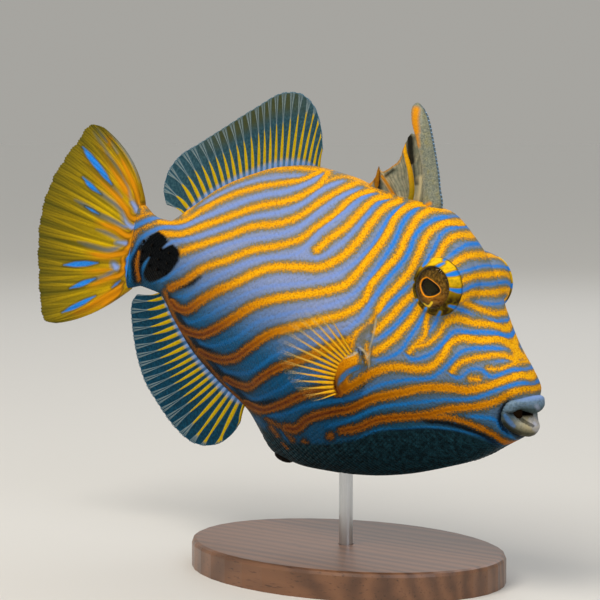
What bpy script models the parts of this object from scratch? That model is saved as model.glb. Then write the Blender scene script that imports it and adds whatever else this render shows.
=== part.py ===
"""An orange-lined triggerfish, life size, held nose down on a plain display stand.

Every length is in metres. The fish is modelled in its own frame: the tip of the upper lip is the
origin, +X runs forwards, -Y is its right side and +Z its back. fish_point() takes distances behind
the lip. An empty then tips the whole fish nose down and lifts it over the stand. The stand is
modelled where it stands, with the centre of its underside at the origin.
"""

import math

import bmesh
import bpy
import numpy as np
from mathutils import Vector

MM = 0.001
GAP = 0.3 * MM

# The whole fish
BODY_LENGTH = 195 * MM
NOSE_DOWN = math.radians(13)
LIP_FORWARD = 85 * MM
LIP_HEIGHT = 68 * MM

# Outlines of the flank, as (distance behind the lip, height over the long axis) in millimetres
BACK_LINE = [(4, 2.6), (10, 8.6), (18, 15.8), (26, 25.6), (34, 37), (44, 46.2), (55, 51.8), (64, 52),
             (75, 51.6), (86, 52), (98, 53.1), (112, 52.9), (128, 49.2), (142, 42.8), (156, 34.2),
             (170, 22.2), (179, 15.5), (186, 15), (195, 18.5)]
BELLY_LINE = [(4, -12.5), (10, -17.5), (22, -27.5), (34, -34.5), (48, -41.5), (64, -47.5), (82, -52),
              (98, -54.3), (108, -53.8), (116, -48.5), (125, -42), (140, -36.5), (156, -29), (168, -20),
              (178, -12.3), (186, -12.3), (195, -15.5)]
HALF_WIDTH = [(4, 6), (8, 9.3), (16, 11.6), (30, 13.6), (44, 15.8), (60, 19), (80, 20.8), (100, 20.4),
              (122, 17.6), (146, 12.8), (166, 8.2), (180, 5.6), (188, 3.8), (195, 2.0)]
WIDEST_AT = [(4, -5), (20, -4), (42, 2), (80, -1), (120, 0), (160, 1), (195, 1.5)]
CREST_BEND = [(4, 0.95), (30, 0.88), (46, 0.95), (60, 1.18), (110, 1.35), (150, 1.6), (195, 1.2)]
KEEL_BEND = [(4, 0.95), (30, 1.1), (70, 1.3), (108, 1.6), (128, 1.95), (170, 1.8), (195, 1.1)]
CREST_HALF_FLAT = 1.2 * MM

# Where the body is parted
GILL_X, GILL_TOP_Z, GILL_CREST_X = 61.5, 22.0, 54.0
STEM_X = 179.0

# Eye, on a low turret
EYE_X, EYE_Z = 41.5, 29.0
TURRET_PROFILE = [(10.6, 8.0), (10.6, 12.2), (9.8, 13.8), (9.3, 15.2), (8.6, 16.9), (7.7, 18.2)]
TURRET_RIM_Y, EYE_RISE = 18.2, 1.7
EYE_R, EYE_DEPTH = 7.1, 5.0
NOSTRILS = [(30.5, 31.0), (28.0, 28.5)]
NOSTRIL_R, NOSTRIL_FLOOR_Y = 0.8, 9.5

# Lips, a ring drawn back at the corners of the mouth
LIP_HALF_WIDTH, LIP_HALF_HEIGHT, LIP_Z = 7.2, 5.0, -5.2
LIP_FRONT_X, LIP_SWEEP, LOWER_LIP_SET_BACK = 3.6, 5.4, 0.9
LIP_R, LIP_CORNER_R = 3.4, 2.2
LIP_STEPS, LIP_SIDES = 32, 10
MOUTH_X, MOUTH_DEPTH, MOUTH_HALF_WIDTH, MOUTH_HALF_HEIGHT = 5.0, 7.0, 5.2, 2.4

# Gill slit, the fleshy base of the pectoral fin, and its fan of rays
SLIT_Z, SLIT_HALF_LENGTH, SLIT_HALF_WIDTH, SLIT_FLOOR_Y = 3.8, 10.0, 0.7, 15.5
PAD_X, PAD_Z, PAD_R = 67.6, -9.0, (6.4, 4.6, 9.8)
PAD_Y = 18.2
PECTORAL_BASE = [(68.0, 0.5), (71.4, -3.6), (73.6, -8.4), (74.2, -12.4), (73.2, -15.6), (70.8, -17.8)]
PECTORAL_EDGE = [(79.6, 12.5), (86.5, 9.8), (91.6, 4.6), (94.2, -2.4), (93.6, -9.4), (89.6, -15.6),
                 (83.6, -20.2), (77.4, -22.2)]
PECTORAL_RAYS, PECTORAL_LIFT, PECTORAL_ROOT_Y = 14, math.radians(19), 21.9
PECTORAL_ROOT_HALF = 0.9

# Fins in the midplane: outer edge in millimetres, number of rays
SOFT_DORSAL_BASE = (112.0, 171.5)
SOFT_DORSAL_EDGE = [(112.8, 59.5), (115.8, 67), (120.6, 73.6), (127, 76.6), (133.6, 75.6), (144, 68.3),
                    (158, 58), (172, 47.6), (181, 40), (184.6, 32), (184, 25), (181.4, 21.4)]
SOFT_DORSAL_RAYS = 25
ANAL_BASE = (127.0, 176.5)
ANAL_EDGE = [(127.6, -47), (131.5, -54.5), (137, -60), (144, -63.4), (151, -64.2), (159, -61.6),
             (170, -53.6), (180, -46), (187.4, -37.4), (191.2, -28), (191.6, -20), (187.6, -14.6)]
ANAL_RAYS = 22
CAUDAL_BASE_X = 195.0
CAUDAL_EDGE = [(222, 42), (229.4, 41.6), (235.2, 33.6), (241.6, 22), (245.6, 10), (247.6, -3),
               (247.6, -14), (245.4, -25.6), (241.6, -35.4), (237.6, -40.6), (230, -39.8)]
CAUDAL_RAYS, CAUDAL_SPLIT = 12, 0.42
FIN_WAVE = 1.3 * MM

# First dorsal fin: three spines as (foot, tip, fore-and-aft radius, side radius)
SPINE_FOOT_Z = 50.0
FIRST_SPINES = [((60.2, SPINE_FOOT_Z), (75.3, 84.4), 4.1, 2.5),
                ((69.6, SPINE_FOOT_Z), (76.6, 70.6), 1.5, 1.0),
                ((84.2, SPINE_FOOT_Z), (86.8, 60.4), 1.4, 0.9)]
WEB_OUTLINE = [(60, 51), (88.5, 51), (87.2, 59.4), (83.4, 58.6), (79.8, 60.6), (77.4, 65), (76.4, 70),
               (74.4, 75), (66, 70)]
WEB_HALF_THICK = 0.5

# Thorns of the tail stem and the rough spine under the belly
THORN_XS, THORN_ZS = [170.5, 176.0, 184.0], [5.6, -2.4]
THORN_LENGTH, THORN_R = 2.6, 0.8
PELVIC_X, PELVIC_LENGTH, PELVIC_R = 104.5, 9.0, 2.1

# Stand
ROD_R, ROD_IN_BODY, ROD_IN_BASE = 2.5 * MM, 12 * MM, 5 * MM
BASE_HALF_LENGTH, BASE_HALF_WIDTH, BASE_THICK, BASE_BEVEL = 62 * MM, 46 * MM, 10 * MM, 1.5 * MM

# Mesh fineness
BODY_XS = [4, 6, 8, 11, 14, 18, 22, 26, 30, 34, 38, 42, 46, 50, 55, 60, 66, 72, 78, 85, 92, 98, 103,
           108, 112, 116, 120, 125, 131, 138, 145, 152, 158, 164, 169, 173, 177, 181, 185, 189, 192, 195]
BODY_SIDES = 13
ROUND_SIDES = 20
FIN_ROWS, CAUDAL_ROWS, PECTORAL_ROWS = 4, 6, 4


def through(points, x):
    """The smooth curve through points, read at x: cubic between points, without overshoot."""
    px, py = (np.array(v, float) for v in zip(*points))
    slope = np.diff(py) / np.diff(px)
    tangent = np.empty_like(py)
    tangent[0], tangent[-1] = slope[0], slope[-1]
    same_way = slope[:-1] * slope[1:] > 0
    with np.errstate(divide="ignore", invalid="ignore"):
        harmonic = 2 * slope[:-1] * slope[1:] / (slope[:-1] + slope[1:])
    tangent[1:-1] = np.where(same_way, harmonic, 0)
    i = np.clip(np.searchsorted(px, x) - 1, 0, len(px) - 2)
    h = px[i + 1] - px[i]
    t = (np.clip(x, px[0], px[-1]) - px[i]) / h
    return ((2 * t**3 - 3 * t**2 + 1) * py[i] + (t**3 - 2 * t**2 + t) * h * tangent[i]
            + (-2 * t**3 + 3 * t**2) * py[i + 1] + (t**3 - t**2) * h * tangent[i + 1])


def along(points, share):
    """The point at that share of the length of the smooth curve through points."""
    knots = np.array(points, float)
    fine = np.linspace(0, len(knots) - 1, 12 * (len(knots) - 1) + 1)
    index = list(range(len(knots)))
    curve = np.column_stack([through(list(zip(index, knots[:, k])), fine) for k in range(knots.shape[1])])
    run = np.concatenate([[0], np.cumsum(np.linalg.norm(np.diff(curve, axis=0), axis=1))])
    return np.array([np.interp(share * run[-1], run, curve[:, k]) for k in range(curve.shape[1])])


def fish_point(x, y, z):
    """A point x millimetres behind the lip, y to the left and z up, in metres."""
    return Vector((-x * MM, y * MM, z * MM))


def body_section(x):
    """The closed outline of the body x millimetres behind the lip, from the crest down its right side."""
    top, bottom, wide = through(BACK_LINE, x), through(BELLY_LINE, x), through(HALF_WIDTH, x)
    middle = through(WIDEST_AT, x)
    flat = CREST_HALF_FLAT / MM
    right = []
    for i in range(BODY_SIDES + 1):
        turn = math.pi * i / BODY_SIDES
        rise = math.cos(turn)
        reach, bend = (top, through(CREST_BEND, x)) if rise > 0 else (bottom, through(KEEL_BEND, x))
        y = flat + (wide - flat) * max(0, math.sin(turn)) ** bend
        right.append((-y, middle + (reach - middle) * abs(rise)))
    left = [(-y, z) for y, z in reversed(right)]
    return [fish_point(x, y, z) for y, z in right + left]


def new_object(name, bm, smooth=True):
    """A mesh object made from bm, with its faces pointing out."""
    bmesh.ops.recalc_face_normals(bm, faces=bm.faces)
    mesh = bpy.data.meshes.new(name)
    bm.to_mesh(mesh)
    bm.free()
    obj = bpy.data.objects.new(name, mesh)
    bpy.context.scene.collection.objects.link(obj)
    if smooth:
        mesh.shade_smooth()
        mesh.set_sharp_from_angle(angle=math.radians(40))
    return obj


def loft(name, rings):
    """A closed skin over rings of as many points each, with flat ends."""
    bm = bmesh.new()
    rows = [[bm.verts.new(p) for p in ring] for ring in rings]
    for a, b in zip(rows, rows[1:]):
        for i in range(len(a)):
            j = (i + 1) % len(a)
            bm.faces.new((a[i], a[j], b[j], b[i]))
    bm.faces.new(rows[0])
    bm.faces.new(list(reversed(rows[-1])))
    return new_object(name, bm)


def closed_loop(name, rings):
    """A skin over rings whose last one joins the first, such as a whole torus."""
    bm = bmesh.new()
    rows = [[bm.verts.new(p) for p in ring] for ring in rings]
    for a, b in zip(rows, rows[1:] + rows[:1]):
        for i in range(len(a)):
            j = (i + 1) % len(a)
            bm.faces.new((a[i], a[j], b[j], b[i]))
    return new_object(name, bm)


def prism(name, outline, half_thick):
    """The outline, as (x, z) in millimetres, drawn out to both sides of the midplane."""
    return loft(name, [[fish_point(x, side * half_thick, z) for x, z in outline] for side in (-1, 1)])


def turned(name, profile, sides, centre, side):
    """A solid turned about the Y axis through centre. profile holds (radius, distance from the midplane)."""
    rings = []
    for radius, y in profile:
        turns = [2 * math.pi * i / sides for i in range(sides)]
        rings.append([fish_point(centre[0] + radius * math.cos(a), side * y, centre[1] + radius * math.sin(a))
                      for a in turns])
    return loft(name, rings)


def combine(obj, others, operation, solver="EXACT"):
    """Applies one Boolean of obj with all the others, which are then removed."""
    group = bpy.data.collections.new(obj.name + "_pieces")
    bpy.context.scene.collection.children.link(group)
    for other in others:
        bpy.context.scene.collection.objects.unlink(other)
        group.objects.link(other)
    modifier = obj.modifiers.new("join", "BOOLEAN")
    modifier.operand_type = "COLLECTION"
    modifier.collection = group
    modifier.operation = operation
    modifier.solver = solver
    bpy.context.view_layer.update()
    evaluated = obj.evaluated_get(bpy.context.evaluated_depsgraph_get())
    mesh = bpy.data.meshes.new_from_object(evaluated)
    obj.modifiers.clear()
    obj.data = mesh
    for other in others:
        bpy.data.objects.remove(other)
    bpy.data.collections.remove(group)
    keep_largest(obj)
    return obj


def keep_largest(obj):
    """Drops every loose scrap of obj but its largest closed surface."""
    bm = bmesh.new()
    bm.from_mesh(obj.data)
    left = set(bm.verts)
    shells = []
    while left:
        shell, front = set(), [left.pop()]
        while front:
            vertex = front.pop()
            shell.add(vertex)
            near = [e.other_vert(vertex) for e in vertex.link_edges]
            fresh = [v for v in near if v in left]
            left.difference_update(fresh)
            front.extend(fresh)
        shells.append(shell)
    shells.sort(key=lambda shell: max(v.co.x for v in shell) - min(v.co.x for v in shell))
    scraps = [v for shell in shells[:-1] for v in shell]
    bmesh.ops.delete(bm, geom=scraps, context="VERTS")
    bm.to_mesh(obj.data)
    bm.free()


def body_part(name, lowest_x, highest_x, cutters):
    """One length of the body, from stations lowest_x to highest_x, with the cutters taken away."""
    xs = [lowest_x] + [x for x in BODY_XS if lowest_x + 0.5 < x < highest_x - 0.5] + [highest_x]
    part = loft(name, [body_section(x) for x in xs])
    return combine(part, cutters, "DIFFERENCE") if cutters else part


def gill_seam(shift):
    """The line that parts head and trunk: upright at the gill slit, then forwards to the crest."""
    bend = (GILL_X + shift, GILL_TOP_Z)
    crest = (GILL_CREST_X + shift, 58.0)
    low = (GILL_X + shift, -60.0)
    return [low, bend, crest]


def sheet(name, right_rows, left_rows):
    """A thin closed solid between two grids of points, split into triangles alike on both faces."""
    bm = bmesh.new()
    faces = [[[bm.verts.new(p) for p in row] for row in rows] for rows in (right_rows, left_rows)]
    right, left = faces
    height, width = len(right), len(right[0])
    for r in range(height - 1):
        for c in range(width - 1):
            for grid, flip in ((right, False), (left, True)):
                a, b, c2, d = grid[r][c], grid[r][c + 1], grid[r + 1][c + 1], grid[r + 1][c]
                for corners in ((a, b, c2), (a, c2, d)):
                    bm.faces.new(reversed(corners) if flip else corners)
    rim = [(0, c) for c in range(width)] + [(r, width - 1) for r in range(1, height)]
    rim += [(height - 1, c) for c in range(width - 2, -1, -1)] + [(r, 0) for r in range(height - 2, 0, -1)]
    for (r, c), (r2, c2) in zip(rim, rim[1:] + rim[:1]):
        bm.faces.new((left[r][c], left[r2][c2], right[r2][c2]))
        bm.faces.new((left[r][c], right[r2][c2], right[r][c]))
    return new_object(name, bm)


def ray_columns(rays, split_from):
    """Columns across a fin as (share of the way across, how much of a ray stands there by row).

    Each ray is a ridge with the membrane's level at both its feet. Where split_from is under 1 the
    ridge parts in two from that share of its length out to the edge.
    """
    pitch = 1 / (rays - 1)
    columns = []
    for i in range(rays):
        marks = [(-0.2, 0), (0, 1), (0.2, 0)]
        if split_from < 1:
            marks = [(-0.3, 0), (-0.15, 1), (0, 2), (0.15, 1), (0.3, 0)]
        for shift, kind in marks:
            share = (i + shift) * pitch
            if 0 <= share <= 1 or kind:
                columns.append((min(max(share, 0), 1), kind))
    tidy = [columns[0]]
    for share, kind in columns[1:]:
        if share > tidy[-1][0] + 1e-6:
            tidy.append((share, kind))
        elif kind > tidy[-1][1]:
            tidy[-1] = (share, kind)
    return tidy


def rayed_fin(name, rays, rows, ray_line, root_half, edge_half, split_from=1.0, wave=0.0):
    """A fin in the midplane. ray_line(share, out) gives (x, z) of the ray there, out from root to edge.

    The membrane is edge_half thick to each side at the edge and root_half at the root, and each ray
    stands out from it by about as much again, less towards the edge.
    """
    right, left = [], []
    for row in range(rows + 1):
        out = row / rows
        right_row, left_row = [], []
        for share, kind in ray_columns(rays, split_from):
            web = root_half + (edge_half - root_half) * min(1, 1.6 * out)
            ridge = 0.45 * (1 - out) + 0.14
            if kind == 2:
                ridge *= 1 if out < split_from else 0
            tip = 1 + (0.018 if kind == 1 and row == rows else 0)
            half = web + (ridge if kind else 0)
            x, z = ray_line(share, out * tip)
            y = wave / MM * out**1.5 * math.sin(2 * math.pi * 1.5 * share + 0.6)
            right_row.append(fish_point(x, y - half, z))
            left_row.append(fish_point(x, y + half, z))
        right.append(right_row)
        left.append(left_row)
    return sheet(name, right, left)


def edge_fin(name, line, base, edge, rays, side):
    """The soft dorsal or the anal fin: rays from the back or belly line to the outer edge."""
    def ray_line(share, out):
        root_x = base[0] + (base[1] - base[0]) * share
        root = np.array([root_x, through(line, root_x) + side * GAP / MM])
        tip = along(edge, share)
        bulge = np.array([0.8 - 2.2 * share, side * 1.0]) * math.sin(math.pi * out)
        return root + (tip - root) * out + bulge
    return rayed_fin(name, rays, FIN_ROWS, ray_line, 0.75, 0.3, wave=FIN_WAVE)


def caudal_fin():
    """The tail fin: twelve rays that fan from the stem's flat end and part in two half way out."""
    top, bottom = through(BACK_LINE, CAUDAL_BASE_X) - 0.8, through(BELLY_LINE, CAUDAL_BASE_X) + 0.8

    def ray_line(share, out):
        root = np.array([CAUDAL_BASE_X + GAP / MM, top + (bottom - top) * share])
        tip = along(CAUDAL_EDGE, share)
        bend = np.array([200 + 11 * share, 1.5 + 34.5 * (1 - 2 * share)])
        return root * (1 - out) ** 2 + bend * 2 * out * (1 - out) + tip * out**2
    return rayed_fin("caudal_fin", CAUDAL_RAYS, CAUDAL_ROWS, ray_line, 1.3, 0.3, CAUDAL_SPLIT, FIN_WAVE)


def pectoral_fin(name, side):
    """One pectoral fin, spread a little off the flank behind its fleshy base."""
    right, left = [], []
    for row in range(PECTORAL_ROWS + 1):
        out = row / PECTORAL_ROWS
        near, far = [], []
        for share, kind in ray_columns(PECTORAL_RAYS, 1.0):
            root, tip = along(PECTORAL_BASE, share), along(PECTORAL_EDGE, share)
            x, z = root + (tip - root) * out * (1.02 if kind and row == PECTORAL_ROWS else 1)
            half = 0.55 - 0.3 * out + (0.35 * (1 - out) + 0.1 if kind else 0)
            lift = PECTORAL_ROOT_Y + (x - root[0]) * math.tan(PECTORAL_LIFT)
            near.append(fish_point(x, side * (lift - half), z))
            far.append(fish_point(x, side * (lift + half), z))
        right.append(near)
        left.append(far)
    return sheet(name, right, left)


def pectoral_seat(side):
    """The cutter of the groove in the pad that the root of the pectoral fin stands in."""
    near, far = [], []
    half = PECTORAL_ROOT_HALF + 0.2 + GAP / MM
    for back in (-GAP / MM, 9.0):
        shares = np.linspace(0, 1, 9)
        points = [along(PECTORAL_BASE, share) for share in shares]
        points[0] = points[0] + np.array([-0.3, 2.0])
        points[-1] = points[-1] + np.array([-0.3, -2.0])
        near.append([fish_point(x + back, side * (PECTORAL_ROOT_Y - half), z) for x, z in points])
        far.append([fish_point(x + back, side * (PECTORAL_ROOT_Y + 6.0), z) for x, z in points])
    return sheet("pectoral_seat", near, far)


def spine(name, foot, tip, deep, wide, sides=8, steps=6):
    """A blunt spine from foot to tip, deep fore and aft and wide from side to side."""
    rings = []
    for i in range(steps + 1):
        out = i / steps
        size = math.sqrt(max(0.0, 1 - out**4)) * (1 - 0.22 * out) + 0.08
        x, z = foot[0] + (tip[0] - foot[0]) * out, foot[1] + (tip[1] - foot[1]) * out
        turns = [2 * math.pi * k / sides for k in range(sides)]
        rings.append([fish_point(x + deep * size * math.cos(a), wide * size * math.sin(a), z) for a in turns])
    return loft(name, rings)


def first_dorsal_fin():
    """The three spines of the first dorsal fin with the web that joins them."""
    spines = [spine(f"spine_{i}", *sizes) for i, sizes in enumerate(FIRST_SPINES)]
    web = prism("first_dorsal_fin", WEB_OUTLINE, WEB_HALF_THICK)
    fin = combine(web, spines, "UNION")
    crest = [(x, through(BACK_LINE, x) + GAP / MM) for x in (50, 56, 62, 70, 80, 90, 98)]
    under = prism("under_fin", crest + [(98, 40), (50, 40)], 12)
    return combine(fin, [under], "DIFFERENCE")


def thorn(x, z, side):
    """One thorn of the tail stem, its point turned towards the head."""
    foot_y = through(HALF_WIDTH, x) * 0.93
    rings = []
    for out in (-0.5, 0.3, 1.0):
        radius = THORN_R * (1 - 0.9 * max(0, out))
        forward = THORN_LENGTH * 0.45 * max(0, out) ** 2
        y = foot_y + THORN_LENGTH * 0.7 * out
        turns = [2 * math.pi * k / 5 for k in range(5)]
        rings.append([fish_point(x - forward + radius * math.cos(a), side * y, z + radius * math.sin(a))
                      for a in turns])
    return loft("thorn", rings)


def lip_ring(grow, z_shift=0.0):
    """The whole ring of both lips, grown by grow millimetres all round."""
    rings = []
    for i in range(LIP_STEPS):
        turn = 2 * math.pi * i / LIP_STEPS
        up, out = math.cos(turn), math.sin(turn)
        centre = np.array([LIP_FRONT_X + LIP_SWEEP * out**2 + LOWER_LIP_SET_BACK * (1 - up) / 2,
                           LIP_HALF_WIDTH * out, LIP_Z + LIP_HALF_HEIGHT * up + z_shift])
        radius = LIP_CORNER_R + (LIP_R - LIP_CORNER_R) * up**2 + grow
        outward = np.array([-0.25, out, up])
        outward /= np.linalg.norm(outward)
        forward = np.array([-1.0, 0, 0]) - outward * np.dot([-1.0, 0, 0], outward)
        forward /= np.linalg.norm(forward)
        turns = [2 * math.pi * k / LIP_SIDES for k in range(LIP_SIDES)]
        rings.append([fish_point(*(centre + radius * (outward * math.cos(a) + forward * math.sin(a))))
                      for a in turns])
    return closed_loop("lip_ring", rings)


def lip(name, upper):
    """The upper or the lower lip: the ring, parted at the corners of the mouth."""
    ring = lip_ring(0.0)
    ring.name = name
    middle = LIP_Z + (GAP / MM / 2 if upper else -GAP / MM / 2)
    far = middle - 20 if upper else middle + 20
    block = prism("block", [(-5, middle), (20, middle), (20, far), (-5, far)], 20)
    return combine(ring, [block], "DIFFERENCE")


def dome(name, centre, radii, sides=20, rows=8):
    """A whole ellipsoid about centre, in millimetres."""
    bm = bmesh.new()
    bmesh.ops.create_uvsphere(bm, u_segments=sides, v_segments=rows, radius=1)
    for vertex in bm.verts:
        x, y, z = vertex.co
        vertex.co = fish_point(centre[0] + radii[0] * x, centre[1] + radii[1] * y, centre[2] + radii[2] * z)
    return new_object(name, bm)


def turret(side):
    """The raised ring of skin that carries the eye."""
    return turned("turret", TURRET_PROFILE, ROUND_SIDES, (EYE_X, EYE_Z), side)


def eye_profile(grow):
    """Half of the eye's outline: a short stem and a shallow dome, grown by grow millimetres."""
    profile = [(EYE_R - 1.6 + grow, TURRET_RIM_Y - EYE_DEPTH - grow), (EYE_R + grow, TURRET_RIM_Y - 1.5)]
    profile += [((EYE_R + grow) * math.cos(a), TURRET_RIM_Y - 0.4 + (EYE_RISE + grow) * math.sin(a))
                for a in (0.0, 0.45, 0.9, 1.3)]
    return profile


def eye(name, side):
    """The eyeball, its clear front a shallow dome."""
    return turned(name, eye_profile(0.0), ROUND_SIDES, (EYE_X, EYE_Z), side)


def head():
    """Head from the mouth to the gill seam, with turrets, eye sockets, nostrils and the lips' seat."""
    whole = body_part("head", 4, 66, [])
    combine(whole, [turret(-1), turret(1)], "UNION")
    seam = gill_seam(-GAP / MM / 2)
    behind = prism("behind", seam + [(75, 58), (75, -60)], 30)
    slits = [gill_slit(side) for side in (-1, 1)]
    sockets = [turned("socket", eye_profile(GAP / MM), ROUND_SIDES, (EYE_X, EYE_Z), side) for side in (-1, 1)]
    pits = [turned("pit", [(NOSTRIL_R, NOSTRIL_FLOOR_Y), (NOSTRIL_R, 25)], 7, place, side)
            for place in NOSTRILS for side in (-1, 1)]
    mouth = dome("mouth", (MOUTH_X, 0, LIP_Z), (MOUTH_DEPTH, MOUTH_HALF_WIDTH, MOUTH_HALF_HEIGHT), 16, 8)
    return combine(whole, [behind, *slits, *sockets, *pits, lip_ring(GAP / MM), mouth], "DIFFERENCE")


def gill_slit(side):
    """The cutter of one gill slit: a narrow upright lens, sunk into the flank."""
    outline = [(SLIT_HALF_WIDTH * math.cos(a), SLIT_HALF_LENGTH * math.sin(a))
               for a in (2 * math.pi * i / 12 for i in range(12))]
    rings = [[fish_point(GILL_X + x, side * y, SLIT_Z + z) for x, z in outline]
             for y in (SLIT_FLOOR_Y, 30)]
    return loft("slit", rings)


def torso(rod_hole):
    """Trunk from the gill seam to the tail stem, with the pads of the pectoral fins."""
    trunk = body_part("torso", 50, STEM_X - GAP / MM / 2, [])
    pads = [dome("pad", (PAD_X, side * PAD_Y, PAD_Z), PAD_R, 16, 8) for side in (-1, 1)]
    thorns = [thorn(x, z, side) for x in THORN_XS if x < STEM_X for z in THORN_ZS for side in (-1, 1)]
    combine(trunk, pads + thorns, "UNION")
    seam = gill_seam(GAP / MM / 2)
    before = prism("before", seam + [(40, 58), (40, -60)], 30)
    slits = [gill_slit(side) for side in (-1, 1)]
    seats = [pelvic_shape("pelvic_seat", GAP / MM), pectoral_seat(-1), pectoral_seat(1)]
    return combine(trunk, [before, *slits, *seats, rod_hole], "DIFFERENCE")


def tail_stem():
    """The narrow stem of the tail, from the trunk to the root of the tail fin, with its thorns."""
    stem = body_part("tail_stem", STEM_X + GAP / MM / 2, BODY_LENGTH / MM, [])
    thorns = [thorn(x, z, side) for x in THORN_XS if x > STEM_X for z in THORN_ZS for side in (-1, 1)]
    return combine(stem, thorns, "UNION")


def pelvic_shape(name, grow):
    """The short rough spine at the hind end of the pelvis, lying along the keel."""
    keel = through(BELLY_LINE, PELVIC_X)
    return dome(name, (PELVIC_X, 0, keel), (PELVIC_LENGTH / 2 + grow, PELVIC_R + grow, PELVIC_R + grow), 10, 6)


def stand_rod():
    """The round rod that carries the fish, from inside the base to inside the belly."""
    top = belly_height_over_origin() + ROD_IN_BODY - GAP
    return upright("stand_rod", ROD_R, BASE_THICK - ROD_IN_BASE + GAP, top)


def upright(name, radius, bottom, top, sides=16):
    """A round upright bar about the stand's axis, in the stand's frame."""
    turns = [2 * math.pi * i / sides for i in range(sides)]
    return loft(name, [[Vector((radius * math.cos(a), radius * math.sin(a), z)) for a in turns]
                       for z in (bottom, top)])


def belly_height_over_origin():
    """How high the keel is over the stand's axis once the fish is tipped and lifted."""
    heights = []
    for x in np.arange(50, 100, 0.25):
        z = through(BELLY_LINE, x)
        across = LIP_FORWARD / MM - x * math.cos(NOSE_DOWN) + z * math.sin(NOSE_DOWN)
        height = LIP_HEIGHT / MM + x * math.sin(NOSE_DOWN) + z * math.cos(NOSE_DOWN)
        heights.append((abs(across), height))
    return min(heights)[1] * MM


def stand_base():
    """An oval foot plate with a rounded upper edge and a socket for the rod."""
    steps = 40
    rings = []
    for inset, z in ((0, 0), (0, BASE_THICK - BASE_BEVEL), (BASE_BEVEL * 0.3, BASE_THICK - BASE_BEVEL * 0.3),
                     (BASE_BEVEL, BASE_THICK)):
        turns = [2 * math.pi * i / steps for i in range(steps)]
        rings.append([Vector(((BASE_HALF_LENGTH - inset) * math.cos(a), (BASE_HALF_WIDTH - inset) * math.sin(a), z))
                      for a in turns])
    plate = loft("stand_base", rings)
    socket = upright("socket", ROD_R + GAP, BASE_THICK - ROD_IN_BASE, BASE_THICK * 2)
    return combine(plate, [socket], "DIFFERENCE")


def finish(name, colour, roughness, metallic=0.0):
    """A plain material, its colour in linear values."""
    material = bpy.data.materials.new(name)
    material.use_nodes = True
    shader = material.node_tree.nodes["Principled BSDF"]
    shader.inputs["Base Color"].default_value = (*colour, 1)
    shader.inputs["Roughness"].default_value = roughness
    shader.inputs["Metallic"].default_value = metallic
    return material


def build():
    for obj in list(bpy.data.objects):
        bpy.data.objects.remove(obj)
    pose = bpy.data.objects.new("fish_pose", None)
    bpy.context.scene.collection.objects.link(pose)
    pose.location = (LIP_FORWARD, 0, LIP_HEIGHT)
    pose.rotation_euler = (0, NOSE_DOWN, 0)
    bpy.context.view_layer.update()

    rod_hole = upright("rod_hole", ROD_R + GAP, BASE_THICK, belly_height_over_origin() + ROD_IN_BODY)
    rod_hole.data.transform(pose.matrix_world.inverted())
    skin = finish("striped_skin", (0.62, 0.34, 0.06), 0.4)
    lips = finish("lip_skin", (0.22, 0.28, 0.36), 0.4)
    web = finish("fin_web", (0.08, 0.22, 0.28), 0.35)
    tail = finish("tail_web", (0.42, 0.36, 0.03), 0.35)
    spiny = finish("spine_bone", (0.25, 0.26, 0.2), 0.5)
    eyes = finish("eye", (0.2, 0.1, 0.01), 0.1)
    fish = [(head(), skin), (torso(rod_hole), skin), (tail_stem(), skin),
            (lip("upper_lip", True), lips), (lip("lower_lip", False), lips),
            (eye("eye_right", -1), eyes), (eye("eye_left", 1), eyes),
            (first_dorsal_fin(), spiny), (pelvic_shape("pelvic_spine", 0), spiny),
            (edge_fin("soft_dorsal_fin", BACK_LINE, SOFT_DORSAL_BASE, SOFT_DORSAL_EDGE, SOFT_DORSAL_RAYS, 1), web),
            (edge_fin("anal_fin", BELLY_LINE, ANAL_BASE, ANAL_EDGE, ANAL_RAYS, -1), web),
            (caudal_fin(), tail),
            (pectoral_fin("pectoral_fin_right", -1), tail), (pectoral_fin("pectoral_fin_left", 1), tail)]
    for obj, material in fish:
        obj.parent = pose
        obj.data.materials.clear()
        obj.data.materials.append(material)
    stand = [(stand_base(), finish("stand_wood", (0.03, 0.018, 0.012), 0.4)),
             (stand_rod(), finish("stand_steel", (0.6, 0.6, 0.6), 0.3, 1.0))]
    for obj, material in stand:
        obj.data.materials.clear()
        obj.data.materials.append(material)


build()
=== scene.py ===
# %% [markdown]
# # An orange-lined triggerfish on a display stand
#
# The finished object is a life-size model of a small reef fish, held nose down on a steel rod over
# an oval wooden base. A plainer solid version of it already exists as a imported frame. This script
# loads that frame and dresses it: one fine skin over head, trunk and tail stem, small scales on the
# skin, fins with branched rays, clear-fronted eyes, fleshy lips, and a proper stand.
#
# All lengths are named in millimetres, because a fish is measured in millimetres. They are turned
# into metres at the last moment, when a mesh is made.

import math

import bmesh
import bpy
import numpy as np
from mathutils import Matrix, Vector


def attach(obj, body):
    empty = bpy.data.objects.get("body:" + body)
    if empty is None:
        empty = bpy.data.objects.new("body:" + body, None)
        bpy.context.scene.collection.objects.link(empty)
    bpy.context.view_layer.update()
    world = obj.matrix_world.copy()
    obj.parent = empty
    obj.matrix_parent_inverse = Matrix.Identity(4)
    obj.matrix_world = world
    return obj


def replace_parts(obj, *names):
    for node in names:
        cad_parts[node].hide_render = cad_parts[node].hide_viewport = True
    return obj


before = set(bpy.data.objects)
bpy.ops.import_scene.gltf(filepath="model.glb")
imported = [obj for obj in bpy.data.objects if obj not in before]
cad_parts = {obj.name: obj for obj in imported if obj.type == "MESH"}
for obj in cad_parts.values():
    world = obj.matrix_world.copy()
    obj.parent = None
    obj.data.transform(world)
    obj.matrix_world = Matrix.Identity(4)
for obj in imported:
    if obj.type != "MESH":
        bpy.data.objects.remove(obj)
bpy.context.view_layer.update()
MM = 0.001
print("solids to dress:", len(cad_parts))

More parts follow.
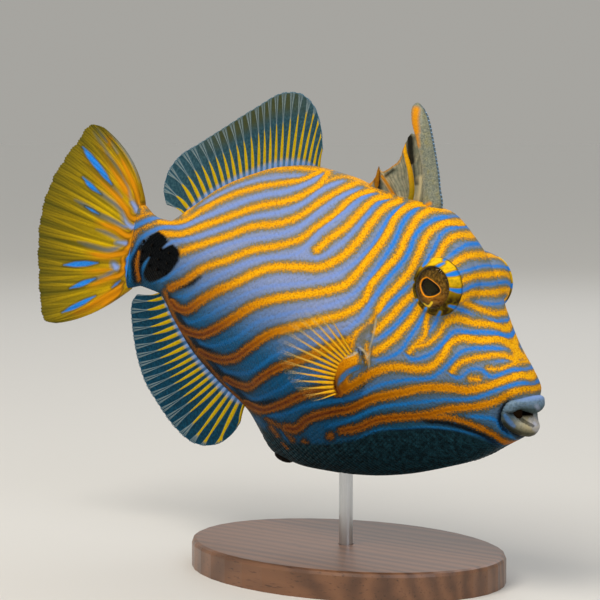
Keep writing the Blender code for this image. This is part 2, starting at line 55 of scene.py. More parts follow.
# %% [markdown]
# ## Helpers for finishes
#
# Colours are picked from how a thing looks on a screen, so they are written as the usual hex
# values. The renderer mixes light in linear values, and one function turns the one into the other.
# A second small function adds a shader node with its settings and links in a single line, which
# keeps a material short enough to read from top to bottom. Most finishes of this model have a fine
# grain, so one function starts them all. Their colours are then built up like a painting, colour
# over colour, each within its own limits, and the last two functions lay them in order.

# %% Colour and node helpers
def linear(hex_value):
    """The linear colour of an sRGB hex value such as "FFB020"."""
    parts = [int(hex_value[i:i + 2], 16) / 255 for i in (0, 2, 4)]
    return (*[c / 12.92 if c <= 0.04045 else ((c + 0.055) / 1.055) ** 2.4 for c in parts], 1.0)


def add(tree, kind, inputs, **settings):
    """Adds a node. An input that is itself a socket is linked, anything else is set as its value."""
    made = tree.nodes.new(kind)
    for key, value in settings.items():
        setattr(made, key, value)
    for key, value in inputs.items():
        if isinstance(value, bpy.types.NodeSocket):
            tree.links.new(value, made.inputs[key])
        else:
            made.inputs[key].default_value = value
    return made


def new_finish(name, **constants):
    """An empty node material, with constant values set on the sockets of its Principled shader."""
    material = bpy.data.materials.new(name)
    material.use_nodes = True
    shader = material.node_tree.nodes["Principled BSDF"]
    for key, value in constants.items():
        shader.inputs[key.replace("_", " ")].default_value = value
    return material, material.node_tree


def grained_finish(name, fields, grain, relief, stretch=None, **constants):
    """A finish that reads fields off its mesh and has a grain that is both seen and felt.

    grain is how many grains lie on a millimetre and their detail. relief is the strength of their
    bumps and the depth in millimetres. stretch below 1 draws the pattern out along that axis."""
    material, tree = new_finish(name, **constants)
    field = {key: add(tree, "ShaderNodeAttribute", {}, attribute_name=key).outputs["Fac"] for key in fields}
    room = add(tree, "ShaderNodeTexCoord", {}).outputs["Object"]
    if stretch:
        room = add(tree, "ShaderNodeMapping", {"Vector": room, "Scale": stretch}).outputs[0]
    grains = add(tree, "ShaderNodeTexNoise", {"Vector": room, "Scale": grain[0] / MM,
                                              "Detail": grain[1]}).outputs["Fac"]
    bumps = add(tree, "ShaderNodeBump", {"Height": grains, "Strength": relief[0], "Distance": relief[1] * MM})
    tree.links.new(bumps.outputs[0], tree.nodes["Principled BSDF"].inputs["Normal"])
    return material, tree, field, room, grains


def lay_colours(tree, colour, *layers):
    """Lays colours over a first one. A layer is a colour and its limits, which multiply.

    A limit is (value, where the colour starts to show, where it shows fully, the most it shows)."""
    for over, *limits in layers:
        shown = None
        for value, start, full, most in limits:
            factor = add(tree, "ShaderNodeMapRange", {"Value": value, "From Min": start, "From Max": full,
                                                      "To Max": most}).outputs[0]
            if shown is not None:
                factor = add(tree, "ShaderNodeMath", {0: shown, 1: factor}, operation="MULTIPLY").outputs[0]
            shown = factor
        colour, over = (linear(c) if isinstance(c, str) else c for c in (colour, over))
        colour = add(tree, "ShaderNodeMix", {0: shown, 6: colour, 7: over}, data_type="RGBA").outputs[2]
    return colour


def paint(tree, colour, *layers):
    """Lays colours and gives the result to the shader of the finish."""
    tree.links.new(lay_colours(tree, colour, *layers), tree.nodes["Principled BSDF"].inputs["Base Color"])


# %% [markdown]
# ## Where the camera stands
#
# The fish was seen from its right front side, from a little above, through a long lens. The camera
# looks at the middle of the picture, a point in the fish's midplane. Three numbers fix it: the turn
# round the fish, the height over the horizon and the distance. They were found by placing the eyes,
# lips and fin tips of a fish of ordinary proportions over the picture until all of them fell in
# place. The camera comes first, because the markings are placed through it.

# %% Camera
CAMERA_TURN = math.radians(40)
CAMERA_RISE = math.radians(4.5)
CAMERA_DISTANCE = 800
CAMERA_TARGET = Vector((-21.5, 0, 96.6)) * MM
FOCAL_MM, SENSOR_MM, FRAME_PIXELS = 132.67, 36, 600
FOCAL_PIXELS = FOCAL_MM / SENSOR_MM * FRAME_PIXELS
FRAME_MIDDLE = FRAME_PIXELS / 2

back = Vector((math.sin(CAMERA_TURN) * math.cos(CAMERA_RISE),
               -math.cos(CAMERA_TURN) * math.cos(CAMERA_RISE), math.sin(CAMERA_RISE)))
right = Vector((math.cos(CAMERA_TURN), math.sin(CAMERA_TURN), 0))
up = back.cross(right)
camera_place = CAMERA_TARGET + back * CAMERA_DISTANCE * MM

lens = bpy.data.cameras.new("camera")
lens.lens, lens.sensor_width = FOCAL_MM, SENSOR_MM
lens.clip_start, lens.clip_end = 0.05, 20
camera = bpy.data.objects.new("camera", lens)
camera.matrix_world = Matrix.Translation(camera_place) @ Matrix((right, up, back)).transposed().to_4x4()
bpy.context.scene.collection.objects.link(camera)
bpy.context.scene.camera = camera


def sight_line(px, py):
    """The direction from the camera through a pixel of the 600 by 600 frame."""
    across, down = (px - FRAME_MIDDLE) / FOCAL_PIXELS, (py - FRAME_MIDDLE) / FOCAL_PIXELS
    return (right * across - up * down - back).normalized()


print("camera at", [round(v, 3) for v in camera_place])

# %% [markdown]
# ## A plain pale floor and soft light
#
# A broad soft lamp over the camera's left shoulder gives the round of the flank and one wide soft
# highlight. A weaker one from the right opens the shadow side, and one behind the fish lights its
# edges. The pale surroundings do the rest. The floor is painted in a pale matt grey. The picture is
# shown without a film curve, which would wash out a coat as strong as this.

# %% Floor, lamps and surroundings
bpy.context.scene.view_settings.view_transform = "Standard"

FLOOR_HALF = 40.0
floor_mesh = bpy.data.meshes.new("floor")
floor_corners = [(x * FLOOR_HALF, y * FLOOR_HALF, 0) for x, y in ((-1, -1), (1, -1), (1, 1), (-1, 1))]
floor_mesh.from_pydata(floor_corners, [], [(0, 1, 2, 3)])
floor = bpy.data.objects.new("floor", floor_mesh)
bpy.context.scene.collection.objects.link(floor)
floor_mesh.materials.append(new_finish("painted_floor", Roughness=0.7, Base_Color=linear("D9D7D2"))[0])

# Each lamp has a place, a width in metres, a power in watts and a tint.
LAMPS = {"key": ((-0.05, -0.85, 1.25), 0.8, 14.0, "FFF7EC"),
         "fill": ((1.1, -0.55, 0.7), 0.9, 3.5, "EEF4FF"),
         "rim": ((-0.5, 1.0, 0.9), 0.9, 2.5, "F2F6FF")}
for name, (stands_at, size, power, tint) in LAMPS.items():
    lamp = bpy.data.lights.new(name, "AREA")
    lamp.size, lamp.energy, lamp.color = size, power, linear(tint)[:3]
    lamp_object = bpy.data.objects.new(name, lamp)
    lamp_object.location = stands_at
    lamp_object.rotation_euler = (CAMERA_TARGET - Vector(stands_at)).to_track_quat("-Z", "Y").to_euler()
    bpy.context.scene.collection.objects.link(lamp_object)

HORIZON, CEILING, ROOM_LIGHT = "D1CFC9", "F4F4F2", 0.6
surroundings = bpy.data.worlds.new("pale_room")
bpy.context.scene.world = surroundings
surroundings.use_nodes = True
room_tree = surroundings.node_tree
room_background = room_tree.nodes["Background"]
seen = add(room_tree, "ShaderNodeTexCoord", {}).outputs["Generated"]
height_seen = add(room_tree, "ShaderNodeSeparateXYZ", {0: seen}).outputs["Z"]
walls = lay_colours(room_tree, HORIZON, (CEILING, (height_seen, 0.06, 0.5, 1)))
room_tree.links.new(walls, room_background.inputs["Color"])
room_background.inputs["Strength"].default_value = ROOM_LIGHT
print("lamps:", list(LAMPS))

# %% [markdown]
# ## The shape of the body
#
# A triggerfish is a tall lens: flat from side to side, sharp along the belly, and a little broader
# over the brow. Its flank is drawn by four curves along the length, for the back, the belly, the
# half width and the height at which it is widest. Each slice across the body is then half of a
# rounded lens on either side. These are the same sizes that the solids were made from, so the skin
# lies on them everywhere.

# %% Body curves
NOSE_DOWN = math.radians(13)
LIP_FORWARD, LIP_HEIGHT = 85, 68
FIRST_STATION, BODY_LENGTH = 4, 195
BACK_LINE = [(4, 2.6), (10, 8.6), (18, 15.8), (26, 25.6), (34, 37), (44, 46.2), (55, 51.8), (64, 52),
             (75, 51.6), (86, 52), (98, 53.1), (112, 52.9), (128, 49.2), (142, 42.8), (156, 34.2),
             (170, 22.2), (179, 15.5), (186, 15), (195, 18.5)]
BELLY_LINE = [(4, -12.5), (10, -17.5), (22, -27.5), (34, -34.5), (48, -41.5), (64, -47.5), (82, -52),
              (98, -54.3), (108, -53.8), (116, -48.5), (125, -42), (140, -36.5), (156, -29), (168, -20),
              (178, -12.3), (186, -12.3), (195, -15.5)]
HALF_WIDTH = [(4, 6), (8, 9.3), (16, 11.6), (30, 13.6), (44, 15.8), (60, 19), (80, 20.8), (100, 20.4),
              (122, 17.6), (146, 12.8), (166, 8.2), (180, 5.6), (188, 3.8), (195, 2.0)]
WIDEST_AT = [(4, -5), (20, -4), (42, 2), (80, -1), (120, 0), (160, 1), (195, 1.5)]
CREST_BEND = [(4, 0.95), (30, 0.88), (46, 0.95), (60, 1.18), (110, 1.35), (150, 1.6), (195, 1.2)]
KEEL_BEND = [(4, 0.95), (30, 1.1), (70, 1.3), (108, 1.6), (128, 1.95), (170, 1.8), (195, 1.1)]
CREST_HALF_FLAT = 1.2


def cubic(t, h, start, end, slope_at_start, slope_at_end):
    """The cubic over a length h from start to end with given slopes, at t from 0 to 1."""
    return ((2 * t**3 - 3 * t**2 + 1) * start + (t**3 - 2 * t**2 + t) * h * slope_at_start
            + (-2 * t**3 + 3 * t**2) * end + (t**3 - t**2) * h * slope_at_end)


def through(points, x):
    """The smooth curve through points, read at x: cubic between points, without overshoot."""
    px, py = (np.array(v, float) for v in zip(*points))
    slope = np.diff(py) / np.diff(px)
    tangent = np.empty_like(py)
    tangent[0], tangent[-1] = slope[0], slope[-1]
    with np.errstate(divide="ignore", invalid="ignore"):
        harmonic = 2 * slope[:-1] * slope[1:] / (slope[:-1] + slope[1:])
    tangent[1:-1] = np.where(slope[:-1] * slope[1:] > 0, harmonic, 0)
    i = np.clip(np.searchsorted(px, x) - 1, 0, len(px) - 2)
    h = px[i + 1] - px[i]
    t = (np.clip(x, px[0], px[-1]) - px[i]) / h
    return cubic(t, h, py[i], py[i + 1], tangent[i], tangent[i + 1])


def length_along(line):
    """How far along a line of points each point lies, starting with 0."""
    return np.concatenate([[0], np.cumsum(np.linalg.norm(np.diff(line, axis=0), axis=1))])


def smooth_step(low, high, value):
    """0 below low, 1 above high, and a soft rise between them."""
    t = np.clip((np.asarray(value, float) - low) / (high - low), 0, 1)
    return t * t * (3 - 2 * t)


def place(points):
    """Fish points, as millimetres behind the lip, to the left and up, set in the room in metres."""
    x, y, z = np.moveaxis(np.asarray(points, float), -1, 0)
    along_x = LIP_FORWARD - x * math.cos(NOSE_DOWN) + z * math.sin(NOSE_DOWN)
    up_z = LIP_HEIGHT + x * math.sin(NOSE_DOWN) + z * math.cos(NOSE_DOWN)
    return np.stack([along_x, y, up_z], axis=-1) * MM


def fish_place(points):
    """The other way round: room points in metres, as millimetres behind the lip, to the left and up."""
    x, y, z = np.moveaxis(np.asarray(points, float) / MM, -1, 0)
    x, z = x - LIP_FORWARD, z - LIP_HEIGHT
    return np.stack([-x * math.cos(NOSE_DOWN) + z * math.sin(NOSE_DOWN), y,
                     x * math.sin(NOSE_DOWN) + z * math.cos(NOSE_DOWN)], axis=-1)


# %% [markdown]
# ## Pectoral pads and gill slits
#
# Each pectoral fin grows from a fleshy pad, and in front of it lies the short gill slit. On a loft,
# such low forms are easiest as heights over the midplane: where a pad stands further out than the
# flank, the flank is drawn out to it, and the slit and the nostrils are pressed in.

# %% Heights over the flank
PAD_X, PAD_Y, PAD_Z, PAD_R = 67.6, 18.2, -9.0, (6.4, 4.6, 9.8)
SLIT_LINE = [(-9, 60.4), (-2, 60.6), (4, 61.4), (10, 61.9), (17, 62.6)]
PAD_BLEND, PAD_SUNK = 1.6, 0.35
SLIT_DEPTH, SLIT_REACH = 1.2, 0.7
FLAP_LIFT, FLAP_REACH = 0.7, 1.3
NOSTRILS = [(30.5, 31.0), (28.0, 28.5)]
NOSTRIL_R, NOSTRIL_DEPTH = 0.8, 1.0
EYE_X, EYE_Z = 41.5, 29.0
LIP_Z, LIP_TUCK, LIP_TUCK_END = -5.7, 0.3, 7.2
LIP_CORNER_X, LIP_CORNER_PRESS, LIP_CORNER_REACH = 8.6, 2.7, (3.4, 5.6)
SLIT_FOOT, SLIT_TOP = (-9, -6), (12, 17)
BROW_SWELL, BROW_REACH = 1.3, 11.0


def raised(x, y, z):
    """The distance from the midplane, once pads, slits and nostrils are worked into it."""
    reach = 1 - ((x - PAD_X) / PAD_R[0]) ** 2 - ((z - PAD_Z) / PAD_R[2]) ** 2
    pad = PAD_Y + PAD_R[1] * np.sqrt(np.clip(reach, 0, 1))
    y = np.where(reach > 0, 0.5 * (y + pad + np.sqrt((y - pad) ** 2 + PAD_BLEND)) - PAD_SUNK, y)
    off = x - np.interp(z, *zip(*SLIT_LINE))
    ends = smooth_step(*SLIT_FOOT, z) * (1 - smooth_step(*SLIT_TOP, z))
    y = y - SLIT_DEPTH * ends * np.exp(-((off / SLIT_REACH) ** 2))
    y = y + FLAP_LIFT * ends * np.exp(-(((off + FLAP_REACH + SLIT_REACH) / FLAP_REACH) ** 2))
    near_eye = np.hypot(x - EYE_X, z - EYE_Z)
    y = y + BROW_SWELL * np.exp(-((near_eye / BROW_REACH) ** 6)) * smooth_step(60, 30, x)
    corner = ((x - LIP_CORNER_X) / LIP_CORNER_REACH[0]) ** 4 + ((z - LIP_Z) / LIP_CORNER_REACH[1]) ** 4
    y = y - LIP_CORNER_PRESS * np.exp(-corner) * smooth_step(0, 6, y)
    for nx, nz in NOSTRILS:
        y = y - NOSTRIL_DEPTH * np.exp(-(((x - nx) ** 2 + (z - nz) ** 2) / NOSTRIL_R**2) ** 2)
    return y


def flank(x, turn):
    """Points of the right flank: turn runs from 0 at the crest to pi at the keel."""
    top, bottom, wide = through(BACK_LINE, x), through(BELLY_LINE, x), through(HALF_WIDTH, x)
    middle = through(WIDEST_AT, x)
    rise = np.cos(turn)
    reach = np.where(rise > 0, top, bottom)
    bend = np.where(rise > 0, through(CREST_BEND, x), through(KEEL_BEND, x))
    y = CREST_HALF_FLAT + (wide - CREST_HALF_FLAT) * np.maximum(0, np.sin(turn)) ** bend
    z = middle + (reach - middle) * np.abs(rise)
    tuck = 1 - LIP_TUCK * (1 - smooth_step(FIRST_STATION, LIP_TUCK_END, x))
    z = LIP_Z + (z - LIP_Z) * tuck
    return np.stack([x, -raised(x, y, z) * tuck, z], axis=-1)


# %% [markdown]
# A lens has its points crowded at the thin ends if they are set by angle. So the angles are read
# once from the length of the curve over each station, and the flank is then found by two plain
# numbers: the place along the fish, and the share of the way from crest to keel.

# %% Even steps from crest to keel
TABLE_ROWS, TABLE_COLUMNS, RING_POINTS = 240, 260, 700
STEP_ALONG, STEP_DOWN = 0.15, 0.002
TABLE_STATIONS = np.linspace(FIRST_STATION, BODY_LENGTH, TABLE_ROWS)
turn_table, girth_table = [], []
for station in TABLE_STATIONS:
    fine_turns = np.linspace(0, math.pi, RING_POINTS)
    ring = flank(np.full(RING_POINTS, station), fine_turns)
    run = length_along(ring[:, 1:])
    turn_table.append(np.interp(np.linspace(0, run[-1], TABLE_COLUMNS), run, fine_turns))
    girth_table.append(run[-1])
turn_table, girth_table = np.array(turn_table), np.array(girth_table)
print("half girths from", round(girth_table.min(), 1), "to", round(girth_table.max(), 1), "mm")


def flank_at(x, share):
    """Points of the right flank at a place along the fish and a share of the way down it."""
    row = np.clip((x - FIRST_STATION) / (TABLE_STATIONS[1] - FIRST_STATION), 0, TABLE_ROWS - 1.001)
    column = np.clip(share * (TABLE_COLUMNS - 1), 0, TABLE_COLUMNS - 1.001)
    i, j = row.astype(int), column.astype(int)
    a, b = row - i, column - j
    return flank(x, (turn_table[i, j] * (1 - b) + turn_table[i, j + 1] * b) * (1 - a)
                 + (turn_table[i + 1, j] * (1 - b) + turn_table[i + 1, j + 1] * b) * a)


def surface(x, share):
    """Points and outward directions of the right flank at a place along the fish and a share down it."""
    x, share = np.asarray(x, float), np.clip(np.asarray(share, float), 0.0005, 0.9995)
    middle = flank_at(x, share)
    along_body = flank_at(x + STEP_ALONG, share) - flank_at(x - STEP_ALONG, share)
    down_body = flank_at(x, np.minimum(share + STEP_DOWN, 1)) - flank_at(x, np.maximum(share - STEP_DOWN, 0))
    out = np.cross(down_body, along_body)
    out /= np.linalg.norm(out, axis=-1, keepdims=True) + 1e-12
    from_midplane = middle * (0, 1, 0)
    out *= np.where(np.sum(out * from_midplane, axis=-1, keepdims=True) < 0, -1, 1)
    return middle, out


# %% [markdown]
# ## Reading the markings off the picture
#
# Many stripes wind over this fish, and no formula gives their forks and hooks. They are drawn instead,
# as pencil lines over the picture: a few points along the middle of each stripe, in pixels of the 600
# by 600 frame, with half its width. A point of the body finds its place in the picture by its sight
# line, and its distance to the nearest lines says what colour it has. The left flank, which the picture
# doesn't show, borrows the place of its mirror image.

# %% Stripe lines
ORANGE_LINES = [
    (2.8, [(185, 215), (190, 208), (200, 199), (220, 187), (240, 178), (270, 169), (290, 168), (324, 170)]),
    (3.2, [(158, 222), (175, 223), (190, 218), (200, 211), (220, 200), (250, 189), (280, 183), (300, 180),
           (321, 171)]),
    (3.8, [(160, 233), (180, 234), (200, 227), (220, 220), (260, 206), (290, 200), (310, 191), (322, 182),
           (328, 172)]),
    (2.4, [(325, 182), (340, 177), (358, 180), (366, 185), (384, 194)]),
    (3.8, [(180, 252), (200, 245), (230, 235), (250, 227), (280, 223), (300, 216), (320, 202), (340, 190),
           (358, 182)]),
    (3.8, [(170, 288), (185, 281), (200, 270), (230, 259), (250, 251), (270, 247), (300, 239), (315, 228),
           (335, 214), (355, 196), (373, 190)]),
    (4.2, [(317, 250), (328, 240), (345, 228), (360, 213), (375, 199), (390, 196)]),
    (4.4, [(171, 302), (178, 309), (186, 310), (200, 301), (215, 292), (235, 283), (255, 273), (275, 267),
           (300, 267), (320, 267), (340, 258), (358, 241), (372, 222), (387, 206), (400, 200)]),
    (4.6, [(180, 328), (190, 333), (200, 335), (215, 329), (235, 317), (255, 305), (275, 299), (300, 295),
           (330, 290), (345, 285), (358, 272), (372, 254), (387, 234), (397, 215), (412, 205), (427, 203)]),
    (4.4, [(200, 352), (212, 358), (222, 360), (232, 359), (250, 347), (270, 334), (290, 328), (325, 319),
           (348, 312), (363, 302), (372, 283), (385, 269), (398, 255), (408, 234), (421, 215), (432, 209),
           (448, 209)]),
    (4.4, [(378, 310), (385, 299), (400, 283), (412, 268), (420, 250), (430, 232), (445, 223), (465, 224)]),
    (2.6, [(351, 347), (357, 332), (366, 326), (373, 319), (377, 311)]),
    (4.2, [(226, 379), (234, 384), (248, 387), (262, 377), (280, 367), (300, 360), (325, 350), (350, 340)]),
    (5.6, [(354, 359), (346, 362), (340, 370), (336, 381), (339, 392)]),
    (6.0, [(353, 361), (347, 368), (343, 379), (345, 388)]), (1.6, [(367, 343), (366.5, 352), (365, 358)]),
    (4.5, [(246, 403), (262, 410), (280, 405), (300, 396), (320, 391), (345, 388), (353, 385), (367, 376),
           (383, 369), (402, 367), (415, 369), (430, 367), (440, 359), (451, 343), (458, 339), (480, 340),
           (505, 341), (515, 350), (516, 362)]),
    (4.2, [(437, 258), (446, 243), (453, 237), (465, 235), (480, 242)]),
    (4.2, [(453, 264), (464, 257), (478, 255), (492, 259), (504, 264)]),
    (4.0, [(462, 281), (475, 276), (490, 275), (508, 276)]),
    (4.0, [(460, 300), (470, 294), (485, 293), (505, 292)]),
    (3.6, [(465, 303), (480, 309), (499, 313), (506, 308)]),
    (4.2, [(447, 322), (455, 319), (475, 323), (495, 325), (510, 331)]),
    (4.2, [(376, 331), (393, 314), (404, 302), (415, 292)]),
    (4.4, [(375, 352), (390, 342), (403, 329), (416, 313), (421, 305)]),
    (3.4, [(409, 352), (419, 342), (425, 335), (426, 322), (430, 309)]),
    (3.2, [(419, 346), (430, 342), (438, 335), (447, 322), (452, 317)]),
    (3.6, [(452, 371), (458, 364), (470, 359), (485, 356), (502, 355), (515, 359)]),
    (2.8, [(488, 369), (500, 369), (516, 363), (523, 362), (528, 367)]),
    (3.6, [(471, 379), (478, 379)]),
    (1.4, [(266, 418), (275, 424), (286, 429)]),
    (4.6, [(286, 428), (296, 429), (305, 421), (328, 413), (352, 408), (369, 400), (395, 394),
           (425, 388), (450, 388), (470, 390), (487, 386), (505, 380), (522, 375), (532, 377)]),
    (4.0, [(342, 431), (358, 428), (374, 421), (400, 417), (425, 415), (450, 409), (470, 407), (488, 404),
           (500, 399), (513, 392), (525, 389), (539, 389)]),
    (2.8, [(425, 417), (450, 418), (470, 424), (490, 433), (508, 443), (517, 443)]),
    (1.8, [(165, 292), (173, 313), (190, 342), (210, 367), (230, 390), (247, 406)]),
    (2.0, [(158, 222), (149, 225.5), (140.4, 229), (135, 234), (132.5, 241), (130, 247.5), (125.5, 253),
           (123.7, 262), (124.3, 270), (121, 276)]),
    (2.3, [(143, 213), (142.4, 207), (139.5, 201.5), (136, 195.5)]),
    (2.5, [(158, 211), (150, 213), (143, 215.3), (134.6, 218.7), (130, 215.8), (127.7, 210), (123, 204.4)]),
    (2.6, [(139, 252), (137.3, 259), (136.8, 266), (139, 279)]),
    (2.4, [(366.5, 345), (367.5, 354), (367.5, 362)]),
    (3.3, [(330, 436), (331, 436)]), (2.0, [(304, 442), (305, 442)]), (1.6, [(271, 427), (278, 437)]),
    (1.5, [(285, 434), (293, 441)]), (1.7, [(282, 443), (288, 449)])]
BLUE_LINES = [
    (1.2, [(200, 206), (220, 194), (250, 182), (280, 177), (308, 175)]),
    (2.0, [(129.5, 284), (129.5, 270), (129, 262), (130.6, 257.7), (134, 253), (137, 246.3), (140.4, 240),
           (145, 235.4), (151, 232), (165, 227), (180, 227), (200, 219),
           (230, 207), (260, 196), (290, 190), (310, 182), (326, 172)]),
    (2.0, [(163, 248), (170, 243), (190, 239), (220, 229), (250, 218), (280, 212), (300, 205), (325, 188),
           (345, 180)]),
    (2.0, [(152, 284), (165, 279), (175, 272), (200, 256), (240, 241), (280, 234), (300, 226), (320, 211),
           (340, 197), (363, 187)]),
    (2.2, [(172, 297), (185, 296), (200, 287), (230, 270), (260, 259), (300, 252), (318, 234), (345, 212),
           (368, 195), (378, 193)]),
    (2.0, [(305, 254), (315, 258), (335, 248), (352, 233), (368, 214), (382, 201), (392, 199)]),
    (2.2, [(177, 313), (188, 322), (203, 318), (230, 302), (262, 288), (300, 283), (325, 279), (348, 268),
           (372, 245), (392, 214), (405, 203)]),
    (2.4, [(189, 336), (207, 346), (230, 341), (260, 321), (285, 314), (330, 305), (353, 294), (372, 274),
           (393, 244), (407, 217), (423, 204)]),
    (2.4, [(208, 360), (227, 372), (247, 373), (275, 355), (313, 342), (340, 333), (359, 319), (373, 300),
           (386, 281), (408, 254), (417, 233), (433, 220), (455, 216)]),
    (2.0, [(377, 317), (397, 297), (413, 282)]), (2.2, [(373, 342), (386, 334), (404, 316), (417, 300)]),
    (2.2, [(371, 360), (384, 359), (400, 351), (409, 338), (419, 324), (426, 308)]),
    (2.0, [(427, 335), (433, 327), (440, 312)]),
    (2.0, [(423, 266), (432, 252), (445, 231), (460, 227), (468, 228)]),
    (2.4, [(444, 260), (455, 252), (470, 244), (486, 249)]),
    (1.9, [(443, 276), (457, 273), (478, 267), (486, 265), (500, 269), (506, 270)]),
    (1.9, [(449, 289), (460, 291), (475, 285), (495, 284), (508, 283)]),
    (1.8, [(473, 301), (498, 303), (504, 300)]), (2.2, [(450, 306), (465, 311), (475, 315)]),
    (1.8, [(484, 317), (500, 321), (509, 312)]), (1.4, [(432, 206), (441, 206)]),
    (2.4, [(517, 340), (500, 334), (470, 332), (453, 332), (444, 342), (430, 354), (412, 359), (402, 352)]),
    (2.2, [(264, 416), (282, 415), (303, 407), (328, 402), (352, 398), (380, 385), (404, 380), (435, 376),
           (447, 366), (463, 351), (485, 348), (509, 349)]),
    (2.0, [(446, 372), (458, 378), (472, 369), (482, 370), (489, 376), (512, 370), (530, 369)]),
    (1.6, [(490, 362), (510, 360)]),
    (2.2, [(222, 380), (235, 389), (252, 399), (272, 393), (303, 376), (328, 372)]),
    (2.0, [(322, 428), (352, 419), (378, 408), (405, 404), (440, 400), (475, 398), (503, 388), (522, 383),
           (538, 385)]),
    (2.4, [(466, 416), (480, 417), (495, 420), (503, 430), (516, 440)]),
    (1.2, [(355, 440), (378, 430), (405, 429), (425, 427), (455, 430), (485, 438), (502, 446)]),
    (1.4, [(423, 266), (428, 261)]), (1.5, [(434, 268), (444, 263)]), (1.6, [(443, 276), (456, 273)]),
    (1.5, [(449, 289), (460, 291)]), (1.5, [(449, 306), (454, 307)]),
    (1.9, [(149.5, 257), (145, 263.5), (142, 270.4), (142.7, 281)]),
    (2.2, [(162, 217), (150, 219.3), (139, 224.4), (134, 227), (129, 224.4), (125, 217.6), (120, 209)]),
    (1.2, [(280, 430), (291, 447)])]
BLACK_LINES = [
    (3.0, [(383, 434), (400, 433), (420, 432), (440, 433), (455, 435), (470, 440), (485, 446), (497, 450)]),
    (1.5, [(168, 294), (180, 317), (194, 340), (213, 363), (234, 387), (256, 409)]),
    (1.6, [(175, 288), (190, 284), (200, 277)]), (1.6, [(180, 340), (196, 346), (214, 352)]),
    (1.6, [(208, 367), (224, 375), (240, 380)]), (1.6, [(240, 398), (256, 404), (275, 400)]),
    (1.0, [(357, 349), (362, 354), (365, 362)]), (1.6, [(424, 421), (450, 424), (480, 434), (500, 446)]),
    (1.8, [(508, 401), (503, 407), (500.5, 414), (500, 421), (503, 428), (509, 434)]),
    (2.6, [(508, 428), (517, 434), (527, 438)]),
    (1.9, [(143, 241.5), (138.5, 250), (135, 257), (133.5, 263), (134, 271), (135, 283)]),
    (1.2, [(146, 246), (141, 256), (140, 266), (141, 281)])]
PALE_CREASE_AND_HIGHLIGHT_LINES = [
    # A pale line along the gill slit.
    (0.8, [(376, 316), (375, 326), (373, 335), (370.5, 345), (369.5, 356), (369, 371)]),
    # A painted highlight on the rim of the pectoral pad.
    (0.9, [(356, 346.5), (361, 348.5), (366, 354), (368.5, 363)]),
    (1.6, [(345, 358), (350, 355), (358, 352.5)])]
FLAP_LINES = [(4.2, [(361, 342), (364, 334), (369, 327)])]
PAD_ARC = [(2.5, [(338, 385), (342, 378), (347, 373), (354, 369), (364, 366)])]
BLOTCH_OUTLINE = [(150, 235), (158, 231), (164, 235), (168, 241), (176, 247), (180, 252), (178, 262),
                  (172, 270), (168, 275), (160, 280), (150, 282), (146, 280), (141, 270), (140, 258),
                  (141, 247), (146, 240)]
BELLY_EDGE = [(120, 285), (165, 320), (200, 372), (235, 402), (262, 427), (290, 443), (330, 443), (355, 439),
              (378, 431), (405, 430), (425, 429), (455, 431), (485, 440), (502, 448), (560, 470)]
SHADE_EDGE = [(100, 228), (140, 236), (165, 264), (200, 290), (250, 318), (300, 345), (350, 375), (400, 388),
              (450, 398), (520, 420), (560, 430)]
print("stripes drawn:", len(ORANGE_LINES), "orange,", len(BLUE_LINES), "blue,", len(BLACK_LINES), "black")

# %% [markdown]
# The distances are worked out with arrays. For each line, only the points near it are looked at, and
# each is measured against every short length of the line.

# %% Distances in the picture
SEARCH_MARGIN = 5


def picture_place(points, mirrored=True):
    """Where fish points appear in the picture, in pixels.

    When mirrored, a point of the left flank appears where its mirror image on the right flank does."""
    points = np.array(points, float)
    if mirrored:
        points[..., 1] = -np.abs(points[..., 1])
    from_camera = place(points) - np.array(camera_place)
    scale = FOCAL_PIXELS / -(from_camera @ np.array(back))
    return np.stack([FRAME_MIDDLE + scale * (from_camera @ np.array(right)),
                     FRAME_MIDDLE - scale * (from_camera @ np.array(up))], axis=-1)


def smooth_curve(points, step=2.5):
    """A curve through the points, as many short straight lengths."""
    p = np.array(points, float)
    if len(p) < 3:
        return p
    run = length_along(p)
    fine = np.linspace(0, run[-1], max(3, int(run[-1] / step)))
    tangent = np.gradient(p, run, axis=0)
    i = np.clip(np.searchsorted(run, fine) - 1, 0, len(run) - 2)
    h = (run[i + 1] - run[i])[:, None]
    t = (fine - run[i])[:, None] / h
    return cubic(t, h, p[i], p[i + 1], tangent[i], tangent[i + 1])


def along(points, share, step=0.4):
    """The points at shares of the length of a smooth curve."""
    curve = smooth_curve(points, step)
    run = length_along(curve)
    at = np.asarray(share, float) * run[-1]
    return np.stack([np.interp(at, run, curve[:, 0]), np.interp(at, run, curve[:, 1])], axis=-1)


def from_curve(spots, curve):
    """The distance of each spot to a curve of short straight lengths."""
    nearest = np.full(spots.shape[:-1], 1e9)
    for a, b in zip(curve[:-1], curve[1:]):
        ab = b - a
        t = np.clip(((spots - a) @ ab) / (ab @ ab), 0, 1)
        nearest = np.minimum(nearest, np.linalg.norm(spots - a - t[..., None] * ab, axis=-1))
    return nearest


def from_lines(spots, lines, far=9.0, taper=0.0):
    """How far each spot lies outside the nearest stripe, in pixels; it is negative inside one.

    With a taper, stripes narrow to a point over that many pixels at both ends."""
    nearest = np.full(spots.shape[:-1], far)
    for half_width, points in lines:
        curve = smooth_curve(points)
        low, high = curve.min(axis=0) - far - SEARCH_MARGIN, curve.max(axis=0) + far + SEARCH_MARGIN
        close = ((spots > low) & (spots < high)).all(axis=-1)
        if close.any():
            ends = [np.linalg.norm(spots[close] - curve[i], axis=1) for i in (0, -1)]
            narrowed = smooth_step(-0.3 * taper, taper, np.minimum(*ends)) if taper else 1
            gap = from_curve(spots[close], curve) - half_width * narrowed
            nearest[close] = np.minimum(nearest[close], gap)
    return nearest


